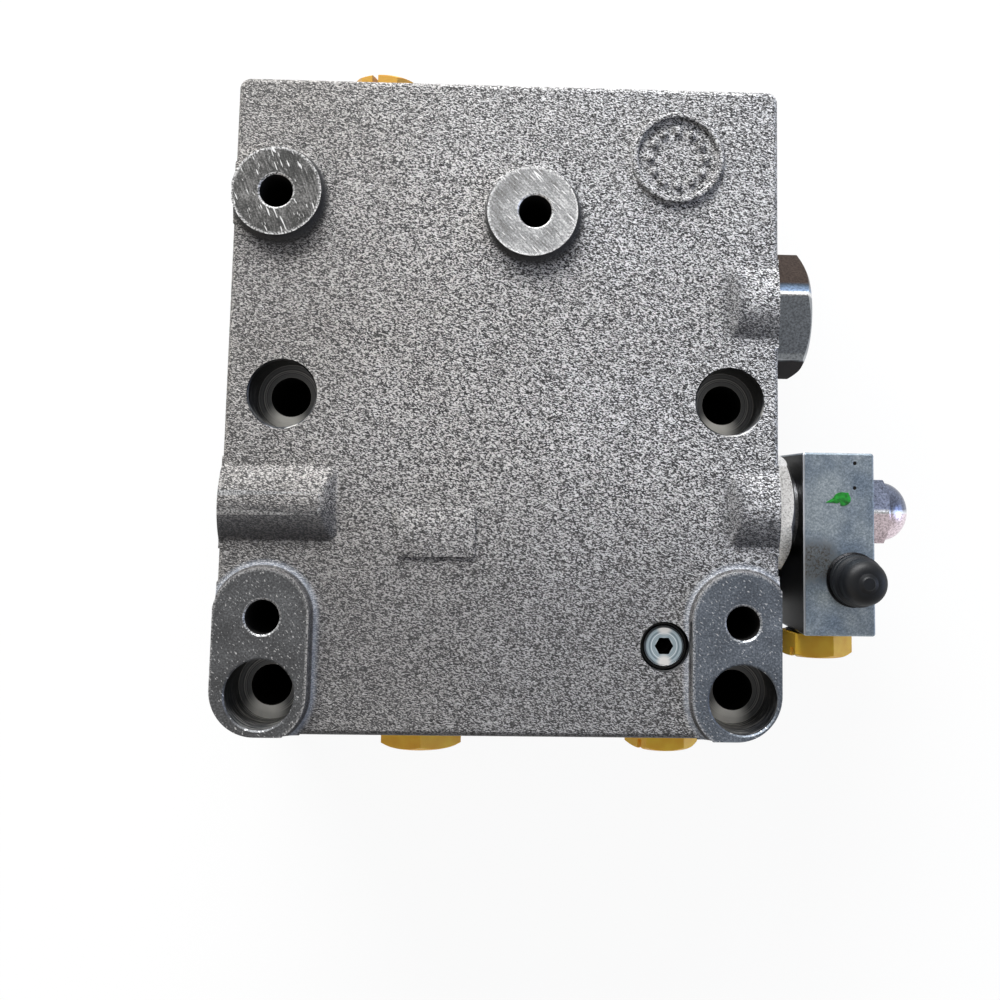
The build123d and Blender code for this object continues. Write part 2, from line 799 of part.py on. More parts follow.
def side_block():
    """The steel block with its clamp bore, gallery, port and nipple hole."""
    place = Pos(block_mid_x, (block_top + block_bottom) / 2, block_back)
    block = extrude(place * RectangleRounded(block_width, block_height, block_corner_radius), block_depth)
    block = chamfer(block.edges().group_by(Axis.Z)[-1], block_edge_chamfer)
    block = chamfer(block.edges().group_by(Axis.Z)[0], block_edge_chamfer)
    y, z = relief_axis_y, bore_axis_z
    half = block_chamber_width / 2
    recess = stud_dia + 4 * small_seal_cord
    port_end = block_bottom + port_thread_depth
    thread_end = block_front - nipple_thread - nipple_runout
    over = cut_overrun
    cuts = [
        rod(stud_dia + 2 * block_bore_clearance, block_left - over, block_right + over, y, z, "x"),
        rod(block_chamber_dia, block_mid_x - half, block_mid_x + half, y, z, "x"),
        rod(recess, block_right - small_seal_cord, block_right + over, y, z, "x"),
        rod(medium_thread_dia, block_bottom - over, port_end, block_port_x, z, "y"),
        rod(block_gallery_dia, port_end - over, y, block_port_x, z, "y"),
        rod(nipple_thread_dia, thread_end, block_front + over, nipple_x, nipple_y, "z"),
        rod(nipple_drill_dia, z - drill_overrun, block_front, nipple_x, nipple_y, "z"),
        rod(nipple_seal_dia, block_front - small_seal_cord, block_front + over, nipple_x, nipple_y, "z"),
    ]
    return block - cuts


def nut_seal():
    """The cord seal in the side block's recess under the cap nut."""
    seal = cord_seal(stud_dia + 4 * small_seal_cord, small_seal_cord)
    return Pos(block_right - small_seal_cord, relief_axis_y, bore_axis_z) * along_x * seal


def cap_nut():
    """The domed nut: chamfered hexagon, elliptical dome and blind thread."""
    radius = nut_dome_dia / 2
    arc = EllipticalCenterArc((0, 0), radius, nut_dome_height, start_angle=0, arc_size=90)
    sides = Polyline((0, nut_dome_height), (0, 0), (radius, 0))
    dome = revolve(Plane.XZ * make_face(Curve() + [arc, sides]), Axis.Z, 360)
    nut = hex_head(nut_flats, nut_hex_height, nut_turn + 90, fine_crown) + Pos(0, 0, nut_hex_height) * dome
    nut -= Rot(180, 0, 0) * bored(stud_dia + 2 * thread_clearance, nut_thread_depth)
    return Pos(block_right, relief_axis_y, bore_axis_z) * along_x * nut


def test_nipple():
    """The nipple body: thread, collar, grooved stem, check valve room and mouth."""
    thread = nipple_thread_dia / 2 - thread_clearance
    collar = nipple_collar_dia / 2
    stem = nipple_stem_dia / 2
    top = nipple_collar + nipple_stem
    groove = nipple_groove_width
    depth = nipple_groove_depth
    groove_z = top - nipple_groove_drop
    body = turned([
        (0, -nipple_thread),
        (thread - edge_break, -nipple_thread),
        (thread, -nipple_thread + edge_break),
        (thread, 0),
        (collar, 0),
        (collar, nipple_collar - edge_break),
        (collar - edge_break, nipple_collar),
        (stem, nipple_collar),
        (stem, groove_z - groove / 2 - depth),
        (stem - depth, groove_z - groove / 2),
        (stem - depth, groove_z + groove / 2),
        (stem, groove_z + groove / 2 + depth),
        (stem, top - edge_break),
        (stem - edge_break, top),
        (0, top),
    ])
    room_top = top - nipple_mouth
    cone = (nipple_bore_dia - nipple_mouth_dia) / 2
    bore = turned([
        (0, -nipple_thread - cut_overrun),
        (nipple_bore_dia / 2, -nipple_thread - cut_overrun),
        (nipple_bore_dia / 2, room_top),
        (nipple_mouth_dia / 2, room_top + cone),
        (nipple_mouth_dia / 2, top + cut_overrun),
        (0, top + cut_overrun),
    ])
    return Pos(nipple_x, nipple_y, block_front) * (body - bore)


def nipple_seal():
    """The cord seal in the side block's recess under the nipple's collar."""
    seal = cord_seal(nipple_seal_dia, small_seal_cord)
    return Pos(nipple_x, nipple_y, block_front - small_seal_cord) * seal


def nipple_valve_base():
    """Height of the lower face of the check valve's head at rest."""
    return block_front + nipple_collar + nipple_stem - nipple_mouth - valve_head


def nipple_valve():
    """The check valve: a coned head pushed up against its seat, and a pin to press it by."""
    head = nipple_bore_dia / 2 - valve_clearance
    pin = valve_pin_dia / 2
    cone = (nipple_bore_dia - valve_pin_dia) / 2 - valve_clearance
    tip = valve_head + nipple_mouth - valve_pin_sink
    body = turned([
        (0, -seat_gap),
        (head, -seat_gap),
        (head, valve_head - seat_gap),
        (pin, valve_head - seat_gap + cone),
        (pin, tip),
        (0, tip),
    ])
    return Pos(nipple_x, nipple_y, nipple_valve_base()) * body


def nipple_retainer():
    """The drilled disc that carries the check valve's spring."""
    disc = ring(nipple_bore_dia - 2 * valve_clearance, retainer_hole, retainer_thickness)
    return Pos(nipple_x, nipple_y, block_front - nipple_thread + retainer_sink) * disc


def nipple_spring():
    """The spring that holds the check valve shut."""
    start = block_front - nipple_thread + retainer_sink + retainer_thickness + end_gap
    length = nipple_valve_base() - seat_gap - start - end_gap
    mean = nipple_bore_dia - 2 * nipple_spring_clearance - nipple_spring_wire
    return Pos(nipple_x, nipple_y, start) * coil(mean, nipple_spring_wire, nipple_spring_turns, length)


def nipple_cap():
    """The rubber cap: ribbed base, rounded dome with a moulding nub, hollow to grip the stem."""
    base = cap_base_dia / 2
    dome = cap_dome_dia / 2
    step = cap_base_height
    groove = cap_groove_width
    low = cap_groove_depth
    corner = cap_dome_radius
    top = cap_height
    points = [(0, 0), (base, 0), (base, step / 2 - groove), (base - low, step / 2 - groove / 2)]
    points += [(base, step / 2), (base, step - groove), (dome + low, step), (dome, step + groove)]
    outline = Polyline(*points, (dome, top - corner))
    arc = CenterArc((dome - corner, top - corner), corner, 0, 90)
    nub = cap_nub_dia / 2
    rise = cap_nub_height
    nub_side = [(nub, top + rise / 2), (nub - low, top + rise)]
    crown = Polyline((dome - corner, top), *nub_side, (0, top + rise), (0, 0))
    cap = revolve(Plane.XZ * make_face(Curve() + [outline, arc, crown]), Axis.Z, 360)
    inner = nipple_stem_dia / 2 + cap_grip_clearance
    hollow = turned([
        (0, -cut_overrun),
        (inner, -cut_overrun),
        (inner, nipple_stem + end_gap),
        (0, nipple_stem + end_gap),
    ])
    return Pos(nipple_x, nipple_y, block_front + nipple_collar) * (cap - hollow)


def gallery_plug():
    """The recessed screw plug with a hexagon socket, its rim over a cord seal."""
    radius = gallery_plug_dia / 2
    thread = gallery_thread_dia / 2 - thread_clearance
    body = turned([
        (0, 0),
        (0, -gallery_plug_length),
        (thread - thread_chamfer, -gallery_plug_length),
        (thread, -gallery_plug_length + thread_chamfer),
        (thread, -gallery_plug_rim),
        (radius, -gallery_plug_rim),
        (radius, -edge_break),
        (radius - edge_break, 0),
    ])
    body -= socket_cut(gallery_plug_socket, gallery_plug_socket_depth)
    return Pos(gallery_plug_x, gallery_plug_y, cast_face_z - gallery_plug_sink) * body


def gallery_plug_seal():
    """The cord seal on the floor of the screw plug's recess."""
    seal = cord_seal(gallery_recess_dia - 2 * seal_side_gap, small_seal_cord)
    return Pos(gallery_plug_x, gallery_plug_y, cast_face_z - gallery_recess_depth) * seal


def transit_plug(flats, head, thread_dia, turn, slot_turn):
    """A moulded plug that stands on the XY plane: hexagon head, slot and hollow shank."""
    shank = thread_dia / 2 - plug_thread_clearance
    inner = shank - plug_wall
    floor = plug_seat_gap - plug_floor
    neck = plug_seat_gap + edge_break
    top = Pos(0, 0, plug_seat_gap) * hex_head(flats, head, turn, fine_crown)
    slot = Pos(0, 0, plug_seat_gap + head - plug_slot_depth / 2) * Rot(0, 0, slot_turn) * Box(
        2 * flats, plug_slot_width, plug_slot_depth
    )
    body = turned([
        (inner, -plug_thread),
        (shank - thread_chamfer, -plug_thread),
        (shank, -plug_thread + thread_chamfer),
        (shank, neck),
        (0, neck),
        (0, floor),
        (inner, floor),
    ])
    return top - slot + body


def transit_seal(thread_dia):
    """The thin flat rubber ring under a transit plug's head."""
    return ring(thread_dia + 2 * plug_ring_width, thread_dia - plug_thread_clearance, plug_seat_gap)


def transit_plugs():
    """Each plug and its ring, set on the face that its port opens in."""
    large, medium, small = large_plug_flats, medium_plug_flats, small_plug_flats
    high, middle, low = high_plug_head, middle_plug_head, low_plug_head
    top = Pos(0, body_top, port_axis_z) * along_y
    bottom = Pos(0, body_bottom, port_axis_z) * against_y
    side = Pos(0, block_bottom, bore_axis_z) * against_y
    rows = [
        ("pressure_port", top, pressure_port_x, medium, high, medium_thread_dia, -66, 76),
        ("signal_port", top, signal_port_x, small, low, small_thread_dia, 10, 40),
        ("tank_port", bottom, tank_port_x, large, middle, large_thread_dia, 86, 0),
        ("drain_port", bottom, drain_port_x, medium, middle, medium_thread_dia, 0, 138),
        ("side_port", side, block_port_x, medium, middle, medium_thread_dia, 15, 145),
    ]
    pieces = {}
    for name, place, x, flats, head, thread_dia, turn, slot_turn in rows:
        seat = Pos(x, 0, 0) * place
        pieces[name + "_plug"] = seat * transit_plug(flats, head, thread_dia, turn, slot_turn)
        pieces[name + "_ring"] = seat * transit_seal(thread_dia)
    return pieces


def face_seals():
    """The cord seals in the mating face, level with it."""
    names = ["pressure_face_seal", "tank_face_seal", "signal_face_seal"]
    pieces = {}
    for name, (x, y, dia, cord) in zip(names, face_ports()):
        outer = dia + 2 * (face_seal_land + cord - seal_side_gap)
        pieces[name] = Pos(x, y, 0) * cord_seal(outer, cord)
    return pieces


def all_pieces():
    """Every piece by name, in place."""
    pieces = {
        "valve_body": valve_body(),
        "spool": spool(),
        "spool_spring": spool_spring(),
        "spool_plug": spool_plug(),
        "spool_plug_seal": shoulder_seal(spool_plug_thread_dia, spool_axis_y),
        "end_plug": end_plug(),
        "end_plug_seal": end_plug_seal(),
        "relief_seat": relief_seat(),
        "relief_poppet": relief_poppet(),
        "relief_spring": relief_spring(),
        "spring_seat": spring_seat(),
        "relief_adapter": relief_adapter(),
        "adapter_seal": shoulder_seal(adapter_thread_dia, relief_axis_y),
        "clamp_stud": clamp_stud(),
        "block_seal": block_seal(),
        "side_block": side_block(),
        "nut_seal": nut_seal(),
        "cap_nut": cap_nut(),
        "test_nipple": test_nipple(),
        "nipple_seal": nipple_seal(),
        "nipple_valve": nipple_valve(),
        "nipple_spring": nipple_spring(),
        "nipple_retainer": nipple_retainer(),
        "nipple_cap": nipple_cap(),
        "gallery_plug": gallery_plug(),
        "gallery_plug_seal": gallery_plug_seal(),
    }
    pieces.update(transit_plugs())
    pieces.update(face_seals())
    return pieces


os.makedirs("parts", exist_ok=True)
for node, solid in all_pieces().items():
    export_step(solid, f"parts/{node}.step")
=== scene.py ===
# %% [markdown]
# # A hydraulic valve end section, seen from above
#
# The object is a block of grey iron, cast in sand, blasted with shot, and then machined where
# something bolts or screws to it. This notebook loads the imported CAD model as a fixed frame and
# gives each surface the finish that its making leaves. Sizes are in metres, as in the frame, and
# `MM` turns the millimetres of a drawing into them.

# %% Load the frame
import math
import bpy
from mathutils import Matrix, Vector


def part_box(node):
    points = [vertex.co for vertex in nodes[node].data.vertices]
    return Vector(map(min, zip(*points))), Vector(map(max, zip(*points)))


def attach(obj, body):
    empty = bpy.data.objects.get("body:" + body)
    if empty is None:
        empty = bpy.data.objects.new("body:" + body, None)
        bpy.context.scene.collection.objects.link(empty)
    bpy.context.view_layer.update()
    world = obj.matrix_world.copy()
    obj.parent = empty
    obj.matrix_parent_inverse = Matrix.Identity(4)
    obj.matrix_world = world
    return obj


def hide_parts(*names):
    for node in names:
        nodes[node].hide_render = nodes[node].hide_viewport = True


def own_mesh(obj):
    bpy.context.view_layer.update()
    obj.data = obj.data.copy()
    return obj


MM = 0.001
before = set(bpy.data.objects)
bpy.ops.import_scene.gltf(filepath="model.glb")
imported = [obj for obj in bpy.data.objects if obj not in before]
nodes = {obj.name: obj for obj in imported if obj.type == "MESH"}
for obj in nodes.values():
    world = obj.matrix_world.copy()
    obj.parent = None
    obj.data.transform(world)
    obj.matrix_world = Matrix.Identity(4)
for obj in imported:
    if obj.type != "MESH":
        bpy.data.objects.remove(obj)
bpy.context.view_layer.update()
bpy.ops.object.select_all(action="DESELECT")

# %% [markdown]
# ## Camera
#
# The photograph looks down on the cast face from about a third of a metre. The place, the turn
# and the lens were found by matching hole centres, whose distances are known, to their places in
# the picture. A small lens shift stands for the crop of the picture.

# %% Set the camera
camera_data = bpy.data.cameras.new("camera")
camera = bpy.data.objects.new("camera", camera_data)
bpy.context.scene.collection.objects.link(camera)
camera.location = (5.066 * MM, -23.231 * MM, 335.0 * MM)
camera.rotation_euler = [math.radians(angle) for angle in (5.3084, -1.7615, 0.9616)]
camera_data.sensor_width = 36.0
camera_data.lens = 38.32
camera_data.shift_x = -0.05415
camera_data.shift_y = -0.11016
camera_data.clip_start = 0.01
bpy.context.scene.camera = camera
bpy.context.scene.view_settings.view_transform = "Standard"
print("camera", tuple(round(value, 4) for value in camera.location))

# %% [markdown]
# ## Helpers for materials
#
# A procedural material is a small graph of nodes. One helper adds a node, sets its properties and
# fills its inputs with numbers or with other nodes' outputs, so a graph reads from top to bottom.
# Colours are written as they look on a screen, in hex, and turned to the linear values that the
# renderer counts in.

# %% Colour and node helpers
def linear(hex_colour):
    """Linear RGBA of an sRGB hex colour such as #8c8a88."""
    channels = [int(hex_colour[i:i + 2], 16) / 255 for i in (1, 3, 5)]
    return [c / 12.92 if c <= 0.04045 else ((c + 0.055) / 1.055) ** 2.4 for c in channels] + [1.0]


def fill(tree, node, inputs):
    """Set a node's inputs to numbers, or link them to other nodes' outputs."""
    for name, value in inputs.items():
        if isinstance(value, bpy.types.NodeSocket):
            tree.links.new(value, node.inputs[name])
        else:
            node.inputs[name].default_value = value


def add(tree, kind, inputs=None, stops=(), **settings):
    """A new node of this kind, with its settings and colour stops, its inputs set or linked."""
    node = tree.nodes.new("ShaderNode" + kind)
    for name, value in settings.items():
        setattr(node, name, value)
    for index, (position, colour) in enumerate(stops):
        elements = node.color_ramp.elements
        element = elements[index] if index < 2 else elements.new(position)
        element.position = position
        element.color = linear(colour)
    fill(tree, node, inputs or {})
    return node


def new_material(name, **values):
    """An empty material with a Principled shader, its plain values set on the shader itself."""
    material = bpy.data.materials.new(name)
    material.use_nodes = True
    shader = material.node_tree.nodes["Principled BSDF"]
    for socket, value in values.items():
        shader.inputs[socket.replace("_", " ")].default_value = value
    return material, material.node_tree, shader


print("cast iron grey in linear values", [round(c, 3) for c in linear("#8c8a88")])

# %% [markdown]
# ## Floor, backdrop and light
#
# The part lies on its machined face on a white table. Camera and mirror rays see the table nearly
# as a white sheet of paper, with only a share of its real shading, so the object keeps a faint
# shadow without more light falling on it. Right under the part lies a thin black sheet of painted
# shade, a little smaller than the part, so the open holes and the slit beside the side block look
# as dark as deep shade. A long window above the far edge gives the grain its relief: it is low, so
# slopes that face away from it go dark, and long, so that metal mirrors it as a band, not a spot.

# %% The table
def seen_rays(tree):
    """1 for rays from the camera, a mirror or a see-through piece, and 0 for rays that light a surface."""
    path = add(tree, "LightPath")
    seen = path.outputs["Is Camera Ray"]
    for kind in ("Is Glossy Ray", "Is Transmission Ray"):
        seen = add(tree, "Math", {0: seen, 1: path.outputs[kind]}, operation="MAXIMUM").outputs[0]
    return seen


bpy.ops.mesh.primitive_plane_add(size=6.0, location=(0, 0, -0.2 * MM))
floor = bpy.context.object
floor.name = "floor"
table, tree, shader = new_material("white_paper", Base_Color=linear("#f4f4f2"), Roughness=0.9)
share = add(tree, "Math", {0: seen_rays(tree), 1: 0.93}, operation="MULTIPLY")
sheet = add(tree, "Emission", {"Color": (1, 1, 1, 1), "Strength": 1.0})
both = add(tree, "MixShader", {0: share.outputs[0], 1: shader.outputs[0], 2: sheet.outputs[0]})
tree.links.new(both.outputs[0], tree.nodes["Material Output"].inputs["Surface"])
floor.data.materials.append(table)
print("table at", round(floor.location.z / MM, 2), "mm")

# %% The black sheet of painted shade
# A near-black sheet under the part: painted shade for the open holes and the slit
shade_sheet, tree, shader = new_material("black_painted_shade_sheet", Roughness=1.0)
here = add(tree, "TexCoord").outputs["Object"]
fluff = add(tree, "TexNoise", {"Vector": here, "Scale": 1 / (0.4 * MM), "Detail": 3.0})
shade = add(tree, "ValToRGB", {0: fluff.outputs["Fac"]}, stops=[(0.3, "#020202"), (0.7, "#070707")])
fill(tree, shader, {"Base Color": shade.outputs[0]})
for name, left, right, low, high in (("shade_sheet", -72, 72, -84, 86), ("shade_sheet_strip", 71, 86, -56, -18)):
    middle = ((left + right) / 2 * MM, (low + high) / 2 * MM, -0.1 * MM)
    bpy.ops.mesh.primitive_plane_add(size=1.0, location=middle)
    mat = bpy.context.object
    mat.name = name
    mat.scale = ((right - left) * MM, (high - low) * MM, 1)
    mat.data.materials.append(shade_sheet)
    print(name, "from", left, low, "to", right, high, "mm")

# %% The room
world = bpy.data.worlds.new("studio")
bpy.context.scene.world = world
world.use_nodes = True
tree = world.node_tree
view = add(tree, "TexCoord")
split = add(tree, "SeparateXYZ", {0: view.outputs["Generated"]})
# White near the horizon, and the greyer ceiling of a room overhead, which flat metal mirrors
ceiling = add(tree, "ValToRGB", {0: split.outputs["Z"]}, stops=[(0.08, "#ffffff"), (0.45, "#c0bebb")])
room = add(tree, "Background", {"Color": linear("#e8ecf2"), "Strength": 0.36})
backdrop = add(tree, "Background", {"Color": ceiling.outputs[0], "Strength": 1.0})
both = add(tree, "MixShader", {0: seen_rays(tree), 1: room.outputs[0], 2: backdrop.outputs[0]})
tree.links.new(both.outputs[0], tree.nodes["World Output"].inputs["Surface"])
print("room nodes", len(tree.nodes))


# %% Lamps
def soft_lamp(name, place, aim, size, power, colour):
    """A rectangular softbox at a place, turned towards a point."""
    data = bpy.data.lights.new(name, "AREA")
    data.shape = "RECTANGLE"
    data.size, data.size_y = size
    data.energy = power
    data.color = linear(colour)[:3]
    lamp = bpy.data.objects.new(name, data)
    bpy.context.scene.collection.objects.link(lamp)
    lamp.location = place
    lamp.rotation_euler = (Vector(aim) - Vector(place)).to_track_quat("-Z", "Y").to_euler()
    return lamp


soft_lamp("window", (-0.35, 1.4, 0.62), (0, 0, 0.03), (1.3, 0.5), 62.0, "#ffffff")
soft_lamp("sky", (0.8, -0.05, 0.35), (0, 0, 0.03), (0.4, 0.6), 2.2, "#c4d6ff")
soft_lamp("room", (-0.6, -0.6, 0.6), (0, 0, 0.03), (0.8, 0.8), 1.2, "#ffe9d2")

# %% [markdown]
# ## Places that the finishes follow
#
# Painted shade lies along the foot of a pad, a cutter leaves a bright burr along its edge, and a spot
# face is a clean circle round a hole. Each of these follows a drawn outline, so the outlines are
# written down once, as rounded boxes: a box in X and Y and the radius round it. A box of no size gives
# a circle, and a long thin one a slot. The distance to such a box is all that a mask needs.

# %% Outlines in X and Y
def circle(x, y, radius):
    """A rounded box of no size."""
    return (x, x, y, y, radius)


# left, right, low and high of the box in mm, then the radius round it
LEFT_PAD, MIDDLE_PAD = circle(-62.4, 55.5, 12.1), circle(6.7, 51.6, 12.3)
LONG_PADS = [(-61.95, -61.95, -77.2, -57.5, 12.6), (64.05, 64.05, -77.2, -57.5, 13.3)]
PADS = [LEFT_PAD, MIDDLE_PAD] + LONG_PADS
# where a painted shadow lies below the round pads
ROUND_PAD_SHADOWS = [circle(-61.7, 54.3, 12.1), circle(7.4, 50.4, 12.3)]
# where a painted shadow lies under the bosses
BOSS_SHADOWS = [(-80, -46, -34.5, -32.0, 1.0), (65, 80, 20.6, 23.0, 1.0), (65, 80, -35.4, -33.0, 1.0),
                (61.5, 62.5, 21.0, 34.0, 0.5), (61.5, 62.5, -35.0, -22.0, 0.5)]
TIE_HOLES = [circle(x, y, 4.5) for x, y in ((-62.4, 55.5), (7.4, 51.6), (-61.45, -57.5), (64.05, -57.5))]
COUNTERBORES = [circle(x, y, 9.0) for x, y in ((-59.3, 1.0), (60.9, 1.0), (-61.45, -77.2), (64.05, -77.2))]
print("outlines", len(PADS) + len(ROUND_PAD_SHADOWS) + len(BOSS_SHADOWS) + len(TIE_HOLES) + len(COUNTERBORES))


# %% Masks from the outlines
def beyond(tree, split, boxes):
    """How far a point lies outside the nearest of some rounded boxes; it is negative inside."""
    point = add(tree, "CombineXYZ", {"X": split.outputs["X"], "Y": split.outputs["Y"]})
    nearest = None
    for left, right, low, high, radius in boxes:
        x = add(tree, "Clamp", {"Value": split.outputs["X"], "Min": left * MM, "Max": right * MM})
        y = add(tree, "Clamp", {"Value": split.outputs["Y"], "Min": low * MM, "Max": high * MM})
        core = add(tree, "CombineXYZ", {"X": x.outputs[0], "Y": y.outputs[0]})
        away = add(tree, "VectorMath", {0: point.outputs[0], 1: core.outputs[0]}, operation="DISTANCE")
        away = add(tree, "Math", {0: away.outputs["Value"], 1: radius * MM}, operation="SUBTRACT")
        nearest = away if nearest is None else add(
            tree, "Math", {0: nearest.outputs[0], 1: away.outputs[0]}, operation="MINIMUM"
        )
    return nearest.outputs[0]


def fade(tree, value, full_mm, none_mm):
    """1 where the value is at full_mm and 0 where it is at none_mm, smooth between them."""
    ends = {"Value": value, "From Min": none_mm * MM, "From Max": full_mm * MM}
    return add(tree, "MapRange", ends, interpolation_type="SMOOTHSTEP").outputs[0]


print("masks ready")

# %% [markdown]
# ## The cast skin
#
# Grey iron from a sand mould, blasted with steel shot: every grain of sand left a bump and every
# shot a small crater, so the skin is a field of facets, each as bright as it happens to face the
# light. The blast went across, so they are drawn out along it, 0.4 by 0.2 mm. Relief alone could
# make them, but a facet is only a pixel or two wide and its light would be smoothed away. So each
# cell of a Voronoi pattern gets a tone of its own, partly the facet's painted light and shade and
# partly real, from nearly black pits to bright peaks that the shot burnished; finer sand breaks the
# cells' edges, and the same cells are also the height. Slow clouds of dust lie over it. Painted shade
# darkens the left, the lower end, the feet of the pads, the ground below the round pads and under the
# bosses; painted light lies on slopes that face the far side and on the fillets round the long pads;
# and the faced spots round the side holes are plain.

# %% Spot faces round the side holes
# the axis that the hole runs along, its other two coordinates, the side and the radius, in mm
SPOTS = [
    ("X", 28.2, 27.0, 74.3, 19.6), ("X", -28.0, 27.0, 74.3, 18.6), ("X", -28.0, 27.0, -74.3, 15.6),
    ("Y", -37.5, 25.0, 87.9, 11.6), ("Y", 31.0, 25.0, 87.9, 9.4),
    ("Y", -21.8, 25.0, -87.9, 14.0), ("Y", 46.2, 25.0, -87.9, 11.6),
]


def spot_mask(tree, split):
    """1 on the faced circles round the side holes, and 0 elsewhere."""
    total = None
    for axis, first, second, side, radius in SPOTS:
        across = "Y" if axis == "X" else "X"
        point = add(tree, "CombineXYZ", {"X": split.outputs[across], "Y": split.outputs["Z"]})
        centre = (first * MM, second * MM, 0)
        away = add(tree, "VectorMath", {0: point.outputs[0], 1: centre}, operation="DISTANCE")
        inside = add(tree, "Math", {0: away.outputs["Value"], 1: radius * MM}, operation="LESS_THAN")
        level = add(tree, "Math", {0: split.outputs[axis], 1: side * MM, 2: 0.05 * MM}, operation="COMPARE")
        spot = add(tree, "Math", {0: inside.outputs[0], 1: level.outputs[0]}, operation="MULTIPLY")
        total = spot if total is None else add(
            tree, "Math", {0: total.outputs[0], 1: spot.outputs[0]}, operation="MAXIMUM"
        )
    return total.outputs[0]


print("spot faces", len(SPOTS))

# %% Grains of the cast skin
cast_skin, tree, shader = new_material("shot_blasted_grey_iron", Metallic=0.12)
coords = add(tree, "TexCoord")
here = coords.outputs["Object"]
split = add(tree, "SeparateXYZ", {0: here})
drawn = {"Vector": here, "Rotation": (0, 0, math.radians(-12)), "Scale": (1.9, 1, 1)}
place = add(tree, "Mapping", drawn, vector_type="TEXTURE")
# Grains, each with a tone of its own that is partly its painted light and shade, and finer sand that breaks
# their edges
cells = add(tree, "TexVoronoi", {"Vector": place.outputs[0], "Scale": 1 / (0.22 * MM)})
tone = add(tree, "SeparateColor", {0: cells.outputs["Color"]})
sand = add(tree, "TexNoise", {
    "Vector": place.outputs[0], "Scale": 1 / (0.3 * MM), "Detail": 2.0, "Roughness": 0.6
})
grain = add(tree, "Mix", {0: 0.55, 2: sand.outputs["Fac"], 3: tone.outputs[0]})
shade = add(tree, "ValToRGB", {0: grain.outputs[0]}, stops=[
    (0.27, "#050506"), (0.41, "#39393b"), (0.52, "#8e8d8c"), (0.61, "#eeedeb"), (0.69, "#ffffff")
])
print("grain nodes", len(tree.nodes))

# %% Broad tones of the cast skin
def with_stains_and_painted_light(tree, colour, stains_and_shades):
    """The colour, with the tone of each layer laid over it by as much as its mask says: real stains, and
    painted light and shade.
    """
    for mask, tone in stains_and_shades:
        colour = add(tree, "Mix", {0: mask, 6: colour, 7: linear(tone)}, data_type="RGBA").outputs[2]
    return colour


# Painted shade: towards the left the grains are evened out to one darker tone
painted_shade = add(tree, "Math", {0: fade(tree, split.outputs["X"], -72.0, -10.0), 1: 0.26}, operation="MULTIPLY")
colour = with_stains_and_painted_light(tree, shade.outputs[0], [(painted_shade.outputs[0], "#6b6a6a")])
# It is a little warmer and darker there, a tint with painted shade, and slow clouds of dust lie on the whole
side = fade(tree, split.outputs["X"], 75.0, -75.0)
warm_shade = add(tree, "Mix", {0: side, 6: linear("#cfccc9"), 7: linear("#ecedf0")}, data_type="RGBA")
clouds = add(tree, "TexNoise", {"Vector": here, "Scale": 1 / (40 * MM), "Detail": 3.0})
dust = add(tree, "ValToRGB", {0: clouds.outputs["Fac"]}, stops=[(0.35, "#ecebe9"), (0.65, "#f4f4f4")])
tint = {0: 1.0, 6: warm_shade.outputs[2], 7: dust.outputs[0]}
tint = add(tree, "Mix", tint, data_type="RGBA", blend_type="MULTIPLY")
tinted = {0: 1.0, 6: colour, 7: tint.outputs[2]}
colour = add(tree, "Mix", tinted, data_type="RGBA", blend_type="MULTIPLY").outputs[2]
# Painted shade, darker towards the lower end
low_end_shade = fade(tree, beyond(tree, split, [(-60, 64, -95, -70, 8)]), 0.0, 54.0)
low_end_shade = add(tree, "Math", {0: low_end_shade, 1: 0.47}, operation="MULTIPLY")
colour = with_stains_and_painted_light(tree, colour, [(low_end_shade.outputs[0], "#3d3c3d")])
# Painted light and shade by slope: slopes that face the far side are lighter, and the others darker
facing = add(tree, "SeparateXYZ", {0: coords.outputs["Normal"]})
slope_light = add(tree, "Math", {0: facing.outputs["Y"], 1: facing.outputs["Z"]}, operation="MULTIPLY")
slope_light = add(tree, "Math", {0: slope_light.outputs[0], 1: 1.2, 2: 1.0}, operation="MULTIPLY_ADD")
slope_light = add(tree, "Math", {0: slope_light.outputs[0], 1: 1.12}, operation="MINIMUM")
colour = add(tree, "VectorMath", {0: colour, "Scale": slope_light.outputs[0]}, operation="SCALE").outputs[0]
print("with broad tones", len(tree.nodes))

# %% Painted shadow, highlight and shade along the outlines
# A painted shadow lies under the bosses and below the round pads, a painted highlight on the fillet
# round each long pad, and painted shade in a line along every pad's own edge.
boss_shadow = fade(tree, beyond(tree, split, BOSS_SHADOWS), 0.0, 4.0)
pad_shadow = fade(tree, beyond(tree, split, ROUND_PAD_SHADOWS), 0.0, 2.0)
away = beyond(tree, split, LONG_PADS)
# a painted highlight on the fillet round each long pad
fillet_highlight = {0: fade(tree, away, 1.2, 2.6), 1: fade(tree, away, 0.9, 0.4)}
fillet_highlight = add(tree, "Math", fillet_highlight, operation="MULTIPLY").outputs[0]
# painted shade in a line along every pad's edge
foot = add(tree, "Math", {0: beyond(tree, split, PADS), 1: 0.4 * MM}, operation="SUBTRACT")
foot = add(tree, "Math", {0: foot.outputs[0]}, operation="ABSOLUTE")
foot_shade = fade(tree, foot.outputs[0], 0.15, 0.45)
# The outlines reach through the whole casting, so each of these stays near the cast face
near_face = fade(tree, split.outputs["Z"], 49.4, 47.8)
for mask, strength, stain in (
    (boss_shadow, 0.5, "#2b2d33"), (fillet_highlight, 0.3, "#b9c2d0"), (pad_shadow, 0.85, "#131416"), (foot_shade, 0.75, "#2e2d2e")
):
    share = add(tree, "Math", {0: mask, 1: strength}, operation="MULTIPLY")
    share = add(tree, "Math", {0: share.outputs[0], 1: near_face}, operation="MULTIPLY")
    colour = with_stains_and_painted_light(tree, colour, [(share.outputs[0], stain)])
spots = spot_mask(tree, split)
colour = with_stains_and_painted_light(tree, colour, [(spots, "#8d9094")])
print("with dirt and oil", len(tree.nodes))

